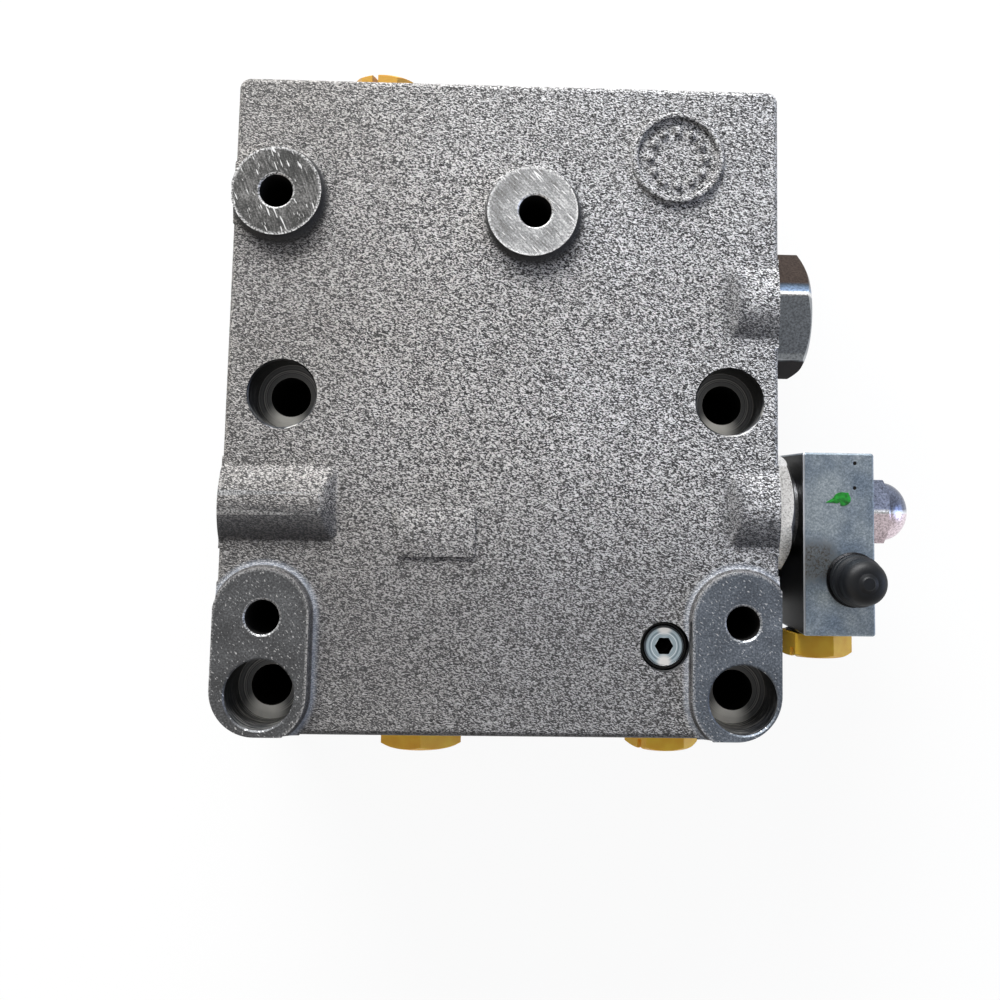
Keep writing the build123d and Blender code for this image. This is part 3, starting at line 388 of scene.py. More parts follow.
# %% Relief of the cast skin
# The same grains as height, over slow waves; the faced spots stay level
waves = add(tree, "TexNoise", {"Vector": here, "Scale": 1 / (6 * MM), "Detail": 2.0})
relief = add(tree, "Math", {0: sand.outputs["Fac"], 1: 1.1, 2: tone.outputs[0]}, operation="MULTIPLY_ADD")
relief = add(tree, "Math", {0: waves.outputs["Fac"], 1: 0.6, 2: relief.outputs[0]}, operation="MULTIPLY_ADD")
rough = add(tree, "Mix", {0: spots, 2: relief.outputs[0], 3: 0.9})
bump = add(tree, "Bump", {"Height": rough.outputs[0], "Distance": 0.34 * MM, "Strength": 1.0})
matt = add(tree, "MapRange", {"Value": sand.outputs["Fac"], "To Min": 0.4, "To Max": 0.62})
fill(tree, shader, {"Base Color": colour, "Roughness": matt.outputs[0], "Normal": bump.outputs[0]})
print("cast skin nodes", len(tree.nodes))

# %% [markdown]
# ## Machined iron
#
# The pads were faced with a milling cutter and rubbed by nuts since, and the back was ground flat.
# Cut grey iron is a dull silver: graphite flakes leave fine dark specks, and tools leave lines. On
# each pad the lines run their own way, so one function makes the finish and takes their angle, the
# tones and how strong the lines are. Noise drawn out along the line makes them, and a narrow band of
# a second such noise gives single bright scratches. A burr of bare metal shines along the pad's edge
# and round its hole, where the outlines say how near the edge is. The real lines are finer than a
# pixel, so they are drawn half a millimetre wide.

# %% Milled and ground iron
def tone_stops(tones, low=0.36, high=0.64):
    """Colour stops for a dark, a middle and a light tone; noise is most often near the middle."""
    return [(low, tones[0]), (0.5, tones[1]), (high, tones[2])]


def cut_iron(name, tones, angle, streak, roughness, scratch=0.5, burr_tone=1.0, drawn_out=16, mark_mm=0.9):
    """Milled grey iron. tones run from dark to light, and lines run at the angle to X."""
    material, tree, shader = new_material(name, Metallic=0.7)
    here = add(tree, "TexCoord").outputs["Object"]
    split = add(tree, "SeparateXYZ", {0: here})
    drawn = {"Vector": here, "Rotation": (0, 0, math.radians(angle)), "Scale": (drawn_out, 1, drawn_out)}
    place = add(tree, "Mapping", drawn, vector_type="TEXTURE")
    lines = add(tree, "TexNoise", {
        "Vector": place.outputs[0], "Scale": 1 / (0.5 * MM), "Detail": 4.0, "Roughness": 0.75
    })
    marks = add(tree, "TexNoise", {"Vector": place.outputs[0], "Scale": 1 / (mark_mm * MM), "Detail": 1.0})
    specks = add(tree, "TexNoise", {"Vector": here, "Scale": 1 / (0.5 * MM), "Detail": 3.0})
    clouds = add(tree, "TexNoise", {"Vector": here, "Scale": 1 / (8 * MM), "Detail": 2.0})
    both = add(tree, "Mix", {0: streak, 2: specks.outputs["Fac"], 3: lines.outputs["Fac"]})
    both = add(tree, "Mix", {0: 0.25, 2: both.outputs[0], 3: clouds.outputs["Fac"]})
    shade = add(tree, "ValToRGB", {0: both.outputs[0]}, stops=tone_stops(tones, 0.38, 0.62))
    bright = {"Value": marks.outputs["Fac"], "From Min": 0.66, "From Max": 0.7, "To Max": scratch}
    bright = add(tree, "MapRange", bright).outputs[0]
    if burr_tone:
        burr = fade(tree, beyond(tree, split, PADS), -0.1, -1.0)
        mouth = fade(tree, beyond(tree, split, TIE_HOLES), 0.3, 0.7)
        wear_and_highlight = add(tree, "Math", {0: burr, 1: mouth}, operation="MAXIMUM")
        broken = add(tree, "MapRange", {"Value": specks.outputs["Fac"], "From Min": 0.4, "From Max": 0.6})
        wear_and_highlight = add(tree, "Math", {0: wear_and_highlight.outputs[0], 1: broken.outputs[0]}, operation="MULTIPLY")
        wear_and_highlight = add(tree, "Math", {0: wear_and_highlight.outputs[0], 1: burr_tone}, operation="MULTIPLY")
        bright = add(tree, "Math", {0: bright, 1: wear_and_highlight.outputs[0]}, operation="MAXIMUM").outputs[0]
    colour = with_stains_and_painted_light(tree, shade.outputs[0], [(bright, "#eeeeee")])
    bump = add(tree, "Bump", {"Height": both.outputs[0], "Distance": 0.05 * MM, "Strength": 0.8})
    matt = {"Value": both.outputs[0], "To Min": roughness - 0.1, "To Max": roughness + 0.1}
    matt = add(tree, "MapRange", matt)
    fill(tree, shader, {"Base Color": colour, "Roughness": matt.outputs[0], "Normal": bump.outputs[0]})
    return material


print("cut iron ready, middle stop of its tones", tone_stops(("#000000", "#808080", "#ffffff"))[1])

# %% Finishes of the pads and the ground back
steep, bright = ("#2a2b2b", "#4b4b4a", "#868584"), ("#6a6967", "#999a9b", "#dedede")
smooth, cool = ("#424344", "#535456", "#6e7072"), ("#464b52", "#5a6068", "#7b828b")
ground = ("#6c6f73", "#8c8f93", "#b4b7ba")
left_pad = cut_iron("milled_iron_steep", steep, -68, 0.6, 0.55, 0.75, 0.8, 5, 0.55)
middle_pad = cut_iron("milled_iron_bright", bright, -45, 0.6, 0.5, 1.0, 1.0, 10, 0.4)
left_long = cut_iron("milled_iron_smooth", smooth, -50, 0.3, 0.5, 0.5, 0.45, 2, 0.5)
right_long = cut_iron("milled_iron_cool", cool, -35, 0.3, 0.5, 0.5, 0.45, 2, 0.5)
ground_back = cut_iron("ground_iron", ground, 3, 0.8, 0.4, burr_tone=0)
print("cut iron finishes", 5)

# %% [markdown]
# Inside a hole the tool goes round and round as it goes down, so its lines are rings. Their height
# depends on Z alone, and the walls carry painted shade by which way they face. The seat at a
# counterbore's foot was cut by the tool's end and is the brighter for it, with a painted highlight on
# its lower side. The shank holes are drilled deep and stay dark: oily, and nearly black with painted
# shade.

# %% Turned holes
turned_bore, tree, shader = new_material("counterbored_iron", Metallic=0.8)
coords = add(tree, "TexCoord")
here = coords.outputs["Object"]
place = add(tree, "Mapping", {"Vector": here, "Scale": (0.12, 0.12, 1)})
rings = {"Vector": place.outputs[0], "Scale": 1 / (0.8 * MM), "Detail": 3.0, "Roughness": 0.6}
rings = add(tree, "TexNoise", rings)
shade = add(tree, "ValToRGB", {0: rings.outputs["Fac"]}, stops=[
    (0.4, "#1c1e22"), (0.52, "#5b5e63"), (0.64, "#c3c2be")
])
# Painted shade and light by facing: the wall below the far edge is darker, and the near one lighter
facing = add(tree, "SeparateXYZ", {0: coords.outputs["Normal"]})
painted_shade = {"Value": facing.outputs["Y"], "From Min": -0.4, "From Max": 0.9, "To Min": 0.05}
painted_shade = add(tree, "MapRange", painted_shade)
colour = add(tree, "VectorMath", {0: shade.outputs[0], "Scale": painted_shade.outputs[0]}, operation="SCALE")
bump = add(tree, "Bump", {"Height": rings.outputs["Fac"], "Distance": 0.12 * MM, "Strength": 0.9})
matt = add(tree, "MapRange", {"Value": rings.outputs["Fac"], "To Min": 0.3, "To Max": 0.5})
fill(tree, shader, {"Base Color": colour.outputs[0], "Roughness": matt.outputs[0], "Normal": bump.outputs[0]})

print("turned bore nodes", len(tree.nodes))

# %% Counterbore seats
bore_seat, tree, shader = new_material("counterbore_seat", Metallic=0.5)
here = add(tree, "TexCoord").outputs["Object"]
split = add(tree, "SeparateXYZ", {0: here})
# Rings again, now from the distance to the nearest hole's axis
axis = beyond(tree, split, [circle(left, low, 0.0) for left, _, low, _, _ in COUNTERBORES])
drawn = add(tree, "CombineXYZ", {"X": axis})
rings = {"Vector": drawn.outputs[0], "Scale": 1 / (0.4 * MM), "Detail": 3.0, "Roughness": 0.7}
rings = add(tree, "TexNoise", rings)
shade = add(tree, "ValToRGB", {0: rings.outputs["Fac"]}, stops=tone_stops(("#2b2d30", "#5e5f60", "#a09e9a")))
# A painted highlight on the lower side of each seat
seat_highlight = [circle(left - 1.4, low - 7.4, 1.6) for left, _, low, _, _ in COUNTERBORES]
colour = with_stains_and_painted_light(tree, shade.outputs[0], [(fade(tree, beyond(tree, split, seat_highlight), 0.0, 5.5), "#fffdf6")])
bump = add(tree, "Bump", {"Height": rings.outputs["Fac"], "Distance": 0.1 * MM, "Strength": 0.8})
fill(tree, shader, {"Base Color": colour, "Roughness": 0.35, "Normal": bump.outputs[0]})

print("seat nodes", len(tree.nodes))

# %% Drilled holes
# Near black: oil, and painted shade deep in the hole
oily_shaded_bore, tree, shader = new_material("drilled_oily_iron_painted_shade", Metallic=0.2)
here = add(tree, "TexCoord").outputs["Object"]
oil = add(tree, "TexNoise", {"Vector": here, "Scale": 1 / (1.5 * MM), "Detail": 2.0})
shade = add(tree, "ValToRGB", {0: oil.outputs["Fac"]}, stops=[(0.35, "#060606"), (0.7, "#131212")])
matt = add(tree, "MapRange", {"Value": oil.outputs["Fac"], "To Min": 0.5, "To Max": 0.75})
bump = add(tree, "Bump", {"Height": oil.outputs["Fac"], "Distance": 0.1 * MM, "Strength": 0.5})
fill(tree, shader, {"Base Color": shade.outputs[0], "Roughness": matt.outputs[0], "Normal": bump.outputs[0]})
print("drilled hole nodes", len(tree.nodes))

# %% [markdown]
# ## Round the casting's lower corners
#
# The casting's lower corners follow the long pads in a wide arc, and the CAD node has them nearly
# square. A CAD node's mesh stays as it is, so a copy takes its place: its loose triangles are
# merged, and a cutter takes each corner off. The cutter is the part of a square that a quarter
# circle leaves, drawn as one outline and pulled up through the casting. A bevel on the corner's edge
# can't be used, because the pad's wall and the rounded edges meet there in many small faces. The
# cut loses the normals that the CAD gave, and plain smoothing would bend the light on the flat
# face towards its rounded rim, so the normals are weighted by the size of the faces.

# %% Cutters for the corners
SIDE_X, END_Y, CORNER = 74.3, 87.9, 12.0
ARC_STEPS, BEYOND, CUTTER_HEIGHT = 24, 2, 60


def corner_cutter(side):
    """The waste of one lower corner; side is 1 on the right and -1 on the left."""
    centre_x, centre_y = side * (SIDE_X - CORNER), -(END_Y - CORNER)
    outer_x, outer_y = side * (SIDE_X + BEYOND), -(END_Y + BEYOND)
    turns = [math.pi / 2 * step / ARC_STEPS for step in range(ARC_STEPS + 1)]
    arc = [(centre_x + side * CORNER * math.cos(turn), centre_y - CORNER * math.sin(turn)) for turn in turns]
    outside = [(centre_x, outer_y), (outer_x, outer_y), (outer_x, centre_y)]
    bpy.ops.mesh.primitive_circle_add(vertices=len(arc) + 3, radius=1.0, fill_type="NGON")
    cutter = bpy.context.object
    for corner, (x, y) in zip(cutter.data.vertices, arc + outside):
        corner.co = (x * MM, y * MM, -BEYOND * MM)
    bpy.ops.object.mode_set(mode="EDIT")
    bpy.ops.mesh.select_all(action="SELECT")
    bpy.ops.mesh.extrude_region_move(TRANSFORM_OT_translate={"value": (0, 0, CUTTER_HEIGHT * MM)})
    bpy.ops.mesh.select_all(action="SELECT")
    bpy.ops.mesh.normals_make_consistent(inside=False)
    bpy.ops.object.mode_set(mode="OBJECT")
    return cutter


cutters = [corner_cutter(-1), corner_cutter(1)]
print("cutters", [len(cutter.data.vertices) for cutter in cutters])


# %% Copy the casting and cut its corners
def own_copy(source, name):
    """A copy of an object, with a mesh of its own."""
    copy = source.copy()
    copy.data = source.data.copy()
    copy.name = name
    bpy.context.scene.collection.objects.link(copy)
    return copy


casting = own_copy(nodes["valve_body"], "casting")
bpy.ops.object.select_all(action="DESELECT")
casting.select_set(True)
bpy.context.view_layer.objects.active = casting
bpy.ops.object.mode_set(mode="EDIT")
bpy.ops.mesh.select_all(action="SELECT")
bpy.ops.mesh.remove_doubles(threshold=0.0005 * MM)
bpy.ops.object.mode_set(mode="OBJECT")
for cutter in cutters:
    cut = casting.modifiers.new("corner", "BOOLEAN")
    cut.operation = "DIFFERENCE"
    cut.solver = "EXACT"
    cut.object = cutter
    bpy.ops.object.modifier_apply(modifier="corner")
for cutter in cutters:
    bpy.data.objects.remove(cutter)
print("cut corners leave", len(casting.data.polygons), "faces")

# %% Smooth the casting and give it its place
bpy.ops.mesh.customdata_custom_splitnormals_clear()
bpy.ops.object.shade_smooth_by_angle(angle=math.radians(30))
even = casting.modifiers.new("even", "WEIGHTED_NORMAL")
even.weight = 100
even.keep_sharp = True
bpy.ops.object.modifier_apply(modifier="even")
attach(casting, "valve")
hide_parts("valve_body")
bpy.ops.object.select_all(action="DESELECT")
print("casting", [round(side / MM, 2) for side in casting.dimensions], "mm")

# %% [markdown]
# ## Give each face of the casting its finish
#
# The casting's material slots hold every finish, and each face is given one by where it lies: pads
# are the flat faces 3 mm above the cast face, the back is at Z = 0, and a hole's wall lies close to
# the hole's axis.

# %% Which finish a face gets
SKIN, LEFT, MIDDLE, LEFT_LONG, RIGHT_LONG, BACK, TURNED, SEAT, OILY_SHADED = range(9)
CAST_Z, PAD_Z, SEAT_Z = 50.0, 53.0, 38.0
# a face is flat from this Z of its normal on, and a hole's broken edge reaches this far past its wall
FLAT, HOLE_EDGE = 0.9, 0.55
GALLERY_RECESS = circle(43.7, -64.1, 6.5)


def pad_finish(x, y):
    """The finish of the pad round this place."""
    if y > 0:
        return LEFT if x < -30 else MIDDLE
    return LEFT_LONG if x < 0 else RIGHT_LONG


def casting_finish(centre, normal):
    """The finish of a face of the casting, from its middle in mm and its normal."""
    x, y, z = centre
    if z < 2.0 and normal.z < -0.5:
        return BACK
    if abs(z - PAD_Z) < 0.05 and normal.z > FLAT:
        return pad_finish(x, y)
    for left, _, low, _, radius in TIE_HOLES + COUNTERBORES + [GALLERY_RECESS]:
        away = math.hypot(x - left, y - low)
        if away > radius + HOLE_EDGE or z < 0.1 or (normal.z > FLAT and z > CAST_Z - 0.1):
            continue
        if z > PAD_Z - 0.5:
            return pad_finish(x, y)
        if radius < 5.0:
            return OILY_SHADED
        if radius > 8.0 and z < SEAT_Z + 0.1:
            return SEAT if normal.z > FLAT else OILY_SHADED
        return TURNED
    return SKIN


print("a face inside a counterbore gets finish", casting_finish((-59.3 + 8.9, 1.0, 45.0), Vector((-1, 0, 0))))

# %% Sort the casting's faces
casting.data.materials.clear()
finishes = [cast_skin, left_pad, middle_pad, left_long, right_long, ground_back]
finishes += [turned_bore, bore_seat, oily_shaded_bore]
for finish in finishes:
    casting.data.materials.append(finish)
counts = [0] * len(finishes)
for face in casting.data.polygons:
    slot = casting_finish([value / MM for value in face.center], face.normal)
    face.material_index = slot
    counts[slot] += 1
print("casting faces by finish", counts)

# %% [markdown]
# ## Steel, plated and plain
#
# Bright zinc plate is a cool, slightly milky mirror with fine lines from the bar it was turned
# from. The side block is drawn bar: satin, with a fine sparkle. The big hexagon plug and the cap nut
# get a painted reflection: their colour follows the height across the flats, with a painted
# highlight where two flats meet and, on the plug's lowest flats, a dark brown painted reflection.
# One function makes the plain steels, with a colour ramp that turns fine grain into tones, and a
# second one turns the height into the painted reflection. The real grain is finer than a pixel, so
# it is drawn about half a millimetre wide.

# %% Steel finishes
def steel(name, tones, roughness, grain_mm, grain=0.6, stretch=(1, 1, 1), depth_mm=0.02):
    """Machined steel, tones from dark to light, its grain drawn out where stretch is small."""
    material, tree, shader = new_material(name, Metallic=1.0)
    here = add(tree, "TexCoord").outputs["Object"]
    place = add(tree, "Mapping", {"Vector": here, "Scale": stretch})
    grit = add(tree, "TexNoise", {
        "Vector": place.outputs[0], "Scale": 1 / (grain_mm * MM), "Detail": 3.0, "Roughness": 0.7
    })
    clouds = add(tree, "TexNoise", {"Vector": here, "Scale": 1 / (6 * MM), "Detail": 2.0})
    both = add(tree, "Mix", {0: grain, 2: clouds.outputs["Fac"], 3: grit.outputs["Fac"]})
    shade = add(tree, "ValToRGB", {0: both.outputs[0]}, stops=tone_stops(tones))
    matt = {"Value": both.outputs[0], "To Min": roughness - 0.08, "To Max": roughness + 0.08}
    matt = add(tree, "MapRange", matt)
    bump = add(tree, "Bump", {"Height": both.outputs[0], "Distance": depth_mm * MM, "Strength": 0.6})
    fill(tree, shader, {"Base Color": shade.outputs[0], "Roughness": matt.outputs[0],
                        "Normal": bump.outputs[0]})
    return material


zinc = steel("bright_zinc_plate", ("#7f848c", "#b9bdc4", "#f0f2f6"), 0.25, 0.5)
turned_zinc = steel("turned_zinc_steel", ("#a8a8a8", "#eeeeee", "#ffffff"), 0.35, 0.5, grain=0.8)
black_steel = steel("black_oxide_steel", ("#0e0e0f", "#1c1c1d", "#303032"), 0.4, 0.5)
ground_steel = steel(
    "ground_valve_steel", ("#8b8d90", "#a8aaad", "#c6c8cb"), 0.18, 0.3, stretch=(1, 0.1, 0.1)
)
spring_steel = steel("oil_tempered_wire", ("#2c2c2f", "#414145", "#5a5a5e"), 0.35, 0.3)
bonded_washer = steel("bonded_washer_steel", ("#55565a", "#77787b", "#a5a6a8"), 0.4, 0.4)
print("steel finishes", 6)

# %% Gallery plug finish
# The plug's face was turned, so its lines are rings; two places carry a painted highlight, and its socket is
# painted near black as shade
plug_low, plug_high = [[value / MM for value in corner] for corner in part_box("gallery_plug")]
PLUG_X, PLUG_Y, PLUG_TOP = (plug_low[0] + plug_high[0]) / 2, (plug_low[1] + plug_high[1]) / 2, plug_high[2]
turned_plug, tree, shader = new_material("turned_zinc_plug", Metallic=0.9)
here = add(tree, "TexCoord").outputs["Object"]
split = add(tree, "SeparateXYZ", {0: here})
axis = beyond(tree, split, [circle(PLUG_X, PLUG_Y, 0.0)])
drawn = add(tree, "CombineXYZ", {"X": axis})
rings = add(tree, "TexNoise", {"Vector": drawn.outputs[0], "Scale": 1 / (0.6 * MM), "Detail": 2.0})
shade = add(tree, "ValToRGB", {0: rings.outputs["Fac"]}, stops=tone_stops(("#7f929f", "#b4c6d0", "#eef8ff")))
wear_and_highlight = [(PLUG_X - 0.2, PLUG_X + 0.4, PLUG_Y + 4.6, PLUG_Y + 4.8, 0.6),
        (PLUG_X, PLUG_X, PLUG_Y - 4.4, PLUG_Y - 4.2, 0.9)]
painted_glint = fade(tree, beyond(tree, split, wear_and_highlight), 0.0, 1.6)
# Painted shade: the socket below the face is near black
socket_shade = add(tree, "Math", {0: split.outputs["Z"], 1: (PLUG_TOP - 0.35) * MM}, operation="LESS_THAN")
socket_shade = add(tree, "Math", {0: socket_shade.outputs[0], 1: fade(tree, axis, 3.4, 3.5)}, operation="MULTIPLY")
colour = with_stains_and_painted_light(tree, shade.outputs[0], [(painted_glint, "#ffffff"), (socket_shade.outputs[0], "#0b0b0a")])
bump = add(tree, "Bump", {"Height": rings.outputs["Fac"], "Distance": 0.05 * MM, "Strength": 0.7})
fill(tree, shader, {"Base Color": colour, "Roughness": 0.35, "Normal": bump.outputs[0]})
print("gallery plug at", round(PLUG_X, 1), round(PLUG_Y, 1), "top", round(PLUG_TOP, 1))


# %% Flats with a painted reflection, tinted by their height across the axis
def painted_reflection(name, low_mm, high_mm, reflection_tints, roughness, grain_mm, dull=-1.0):
    """Speckled steel with a painted reflection whose tint runs along Y through the stops of reflection_tints,
    dull below the share dull.
    """
    material, tree, shader = new_material(name, Metallic=1.0)
    here = add(tree, "TexCoord").outputs["Object"]
    split = add(tree, "SeparateXYZ", {0: here})
    grit = add(tree, "TexNoise", {
        "Vector": here, "Scale": 1 / (grain_mm * MM), "Detail": 3.0, "Roughness": 0.7
    })
    wander = add(tree, "TexNoise", {"Vector": here, "Scale": 1 / (5 * MM), "Detail": 1.0})
    height = {0: wander.outputs["Fac"], 1: 0.4 * MM, 2: split.outputs["Y"]}
    height = add(tree, "Math", height, operation="MULTIPLY_ADD")
    share = {"Value": height.outputs[0], "From Min": low_mm * MM, "From Max": high_mm * MM}
    share = add(tree, "MapRange", share)
    tint = add(tree, "ValToRGB", {0: share.outputs[0]}, stops=reflection_tints)
    speck = add(tree, "ValToRGB", {0: grit.outputs["Fac"]}, stops=[(0.36, "#b4b4b4"), (0.62, "#ffffff")])
    colour = {0: 1.0, 6: tint.outputs[0], 7: speck.outputs[0]}
    colour = add(tree, "Mix", colour, data_type="RGBA", blend_type="MULTIPLY")
    matt = {"Value": grit.outputs["Fac"], "To Min": roughness - 0.08, "To Max": roughness + 0.08}
    matt = add(tree, "MapRange", matt)
    # Where it is dull, the painted reflection is dark brown and the steel no longer a mirror
    bright = add(tree, "MapRange", {"Value": share.outputs[0], "From Min": dull, "From Max": dull + 0.01})
    matt = add(tree, "Mix", {0: bright.outputs[0], 2: 0.95, 3: matt.outputs[0]})
    bump = add(tree, "Bump", {"Height": grit.outputs["Fac"], "Distance": 0.03 * MM, "Strength": 0.6})
    fill(tree, shader, {"Base Color": colour.outputs[2], "Metallic": bright.outputs[0],
                        "Roughness": matt.outputs[0], "Normal": bump.outputs[0]})
    return material


print("passivated steel ready")

# %% Painted reflections of the hexagon plug and the cap nut
plated_hex = painted_reflection("hexagon_bar_painted_reflection", 10, 46, [
    (0.0, "#1c1110"), (0.115, "#1f1413"), (0.128, "#a8aeb4"), (0.165, "#a8aeb4"), (0.18, "#868c94"),
    (0.6, "#8e949b"), (0.615, "#ffffff"), (0.637, "#f4f8fc"), (0.648, "#8fa9cc"), (0.705, "#46515e"),
    (0.725, "#453b36"), (1.0, "#4a403b")
], 0.32, 0.6, dull=0.115)
nut_zinc = painted_reflection("cap_nut_painted_reflection", -38, -18, [
    (0.0, "#e6d3dc"), (0.3, "#ffeef6"), (0.47, "#ffeef6"), (0.5, "#f8fbff"), (0.55, "#8088a0"),
    (1.0, "#747b8c")
], 0.3, 0.6)
print("passivated finishes", 2)

# %% [markdown]
# The side block was cut from drawn bar, zinc plated and handled: a satin grey-blue with a fine
# sparkle, two small pits and a thumb's smear of old oil beside the nipple, with a painted highlight
# along its top edge by the casting. Its side towards the casting is painted near black as shade.

# %% Side block finish
# the block's side towards the casting, and its top
BLOCK_X, BLOCK_Z = 83.0, 42.0
satin_block, tree, shader = new_material("drawn_zinc_bar", Metallic=0.85)
here = add(tree, "TexCoord").outputs["Object"]
split = add(tree, "SeparateXYZ", {0: here})
grit = add(tree, "TexNoise", {"Vector": here, "Scale": 1 / (0.55 * MM), "Detail": 4.0, "Roughness": 0.75})
clouds = add(tree, "TexNoise", {"Vector": here, "Scale": 1 / (9 * MM), "Detail": 2.0})
zinc_tones = ("#7c868c", "#929ca2", "#b4bcc2")
shade = add(tree, "ValToRGB", {0: grit.outputs["Fac"]}, stops=tone_stops(zinc_tones, high=0.66))
tone = add(tree, "ValToRGB", {0: clouds.outputs["Fac"]}, stops=[(0.35, "#c8d0dc"), (0.65, "#ffffff")])
colour = {0: 1.0, 6: shade.outputs[0], 7: tone.outputs[0]}
colour = add(tree, "Mix", colour, data_type="RGBA", blend_type="MULTIPLY")
smear = fade(tree, beyond(tree, split, [(84.5, 88.5, -44.0, -39.5, 0.6)]), 0.0, 5.0)
speck = add(tree, "MapRange", {"Value": grit.outputs["Fac"], "From Min": 0.35, "From Max": 0.6})
smear = add(tree, "Math", {0: smear, 1: speck.outputs[0]}, operation="MULTIPLY")
pits = fade(tree, beyond(tree, split, [circle(97.3, -14.7, 0.3), circle(97.2, -21.5, 0.3)]), 0.1, 0.4)
# A painted highlight along the top edge on the casting's side
top = add(tree, "Math", {0: split.outputs["Z"], 1: (BLOCK_Z - 0.6) * MM}, operation="GREATER_THAN")
edge = {0: top.outputs[0], 1: fade(tree, split.outputs["X"], BLOCK_X + 0.1, BLOCK_X + 0.5)}
edge = add(tree, "Math", edge, operation="MULTIPLY")
# The side towards the casting is painted near black as shade
inner_side_shade = add(tree, "Math", {0: split.outputs["X"], 1: (BLOCK_X - 0.05) * MM}, operation="LESS_THAN")
colour = with_stains_and_painted_light(tree, colour.outputs[2], [
    (smear.outputs[0], "#4f4a44"), (pits, "#1a1714"),
    (edge.outputs[0], "#f2f4f6"), (inner_side_shade.outputs[0], "#0b0b0c"),
])
height = add(tree, "Math", {0: pits, 1: -3.0, 2: grit.outputs["Fac"]}, operation="MULTIPLY_ADD")
bump = add(tree, "Bump", {"Height": height.outputs[0], "Distance": 0.04 * MM, "Strength": 0.7})
matt = add(tree, "MapRange", {"Value": grit.outputs["Fac"], "To Min": 0.4, "To Max": 0.55})
fill(tree, shader, {"Base Color": colour, "Roughness": matt.outputs[0], "Normal": bump.outputs[0]})
print("side block nodes", len(tree.nodes))

# %% [markdown]
# ## Plastic and rubber
#
# The transit plugs are moulded polyethylene: a waxy, slightly see-through yellow with a soft shine
# and faint moulding waves. The nipple's cap is moulded rubber, nearly black, with a dusty bloom
# that lifts the dark a little where it is touched least. The seals are the same rubber, oiled.
# Their grain is drawn 0.3 to 0.4 mm wide, which is as fine as the picture can show.

# %% Transit plugs
yellow, tree, shader = new_material(
    "moulded_polyethylene", Roughness=0.45, IOR=1.51, Specular_IOR_Level=0.3,
    Subsurface_Weight=0.12, Subsurface_Scale=0.002, Subsurface_Radius=(1.0, 0.6, 0.2)
)
here = add(tree, "TexCoord").outputs["Object"]
flow = add(tree, "TexNoise", {"Vector": here, "Scale": 1 / (5 * MM), "Detail": 2.0})
grain = add(tree, "TexNoise", {"Vector": here, "Scale": 1 / (0.4 * MM), "Detail": 1.0})
shade = add(tree, "ValToRGB", {0: flow.outputs["Fac"]}, stops=[(0.3, "#f0b134"), (0.7, "#fccd44")])
# The plugs on the far side are darker: painted shade
split = add(tree, "SeparateXYZ", {0: here})
far_shade = fade(tree, split.outputs["Y"], 88.0, 86.0)
colour = with_stains_and_painted_light(tree, shade.outputs[0], [(far_shade, "#b98c34")])
height = {0: flow.outputs["Fac"], 1: 2.0, 2: grain.outputs["Fac"]}
height = add(tree, "Math", height, operation="MULTIPLY_ADD")
bump = add(tree, "Bump", {"Height": height.outputs[0], "Distance": 0.04 * MM, "Strength": 0.7})
fill(tree, shader, {"Base Color": colour, "Normal": bump.outputs[0]})
print("transit plug nodes", len(tree.nodes))


# %% Cap and seals
def rubber(name, dark, light, roughness, grain_mm):
    """Moulded rubber with a fine grain and an uneven bloom."""
    material, tree, shader = new_material(name, IOR=1.52, Specular_IOR_Level=0.25)
    here = add(tree, "TexCoord").outputs["Object"]
    bloom = add(tree, "TexNoise", {"Vector": here, "Scale": 1 / (4 * MM), "Detail": 3.0})
    grain = add(tree, "TexNoise", {"Vector": here, "Scale": 1 / (grain_mm * MM), "Detail": 2.0})
    shade = add(tree, "Mix", {0: bloom.outputs["Fac"], 6: linear(dark), 7: linear(light)}, data_type="RGBA")
    matt = {"Value": bloom.outputs["Fac"], "To Min": roughness - 0.1, "To Max": roughness + 0.12}
    matt = add(tree, "MapRange", matt)
    bump = add(tree, "Bump", {"Height": grain.outputs["Fac"], "Distance": 0.04 * MM, "Strength": 0.5})
    fill(tree, shader, {"Base Color": shade.outputs[2], "Roughness": matt.outputs[0],
                        "Normal": bump.outputs[0]})
    return material


cap_rubber = rubber("moulded_black_rubber", "#040506", "#101318", 0.5, 0.4)
seal_rubber = rubber("oiled_nitrile_rubber", "#0a0a0a", "#161617", 0.3, 0.3)
print("rubbers", cap_rubber.name, seal_rubber.name)

# %% Finish of every other node
# What isn't named here is a seal
FINISHES = {
    "spool_plug": plated_hex, "end_plug": black_steel, "end_plug_seal": bonded_washer,
    "block_seal": bonded_washer, "relief_adapter": turned_zinc, "clamp_stud": zinc, "cap_nut": nut_zinc,
    # black steel on the test nipple is painted shade under its cap
    "test_nipple": black_steel, "gallery_plug": turned_plug, "side_block": satin_block,
    "nipple_cap": cap_rubber,
}
for name in ("spool", "relief_seat", "relief_poppet", "spring_seat", "nipple_valve", "nipple_retainer"):
    FINISHES[name] = ground_steel
for name in ("spool", "relief", "nipple"):
    FINISHES[name + "_spring"] = spring_steel
for name in ("pressure", "signal", "tank", "drain", "side"):
    FINISHES[name + "_port_plug"] = yellow
for name, node in nodes.items():
    if name == "valve_body":
        continue
    node.data.materials.clear()
    node.data.materials.append(FINISHES.get(name, seal_rubber))
print("nodes with a finish", len(nodes) - 1)

# %% [markdown]
# ## Copies of the springs
#
# A spring is one rigid node of one length in the CAD, so the piece that pushes on it would enter it.
# A copy, with a mesh of its own, takes each spring's place.

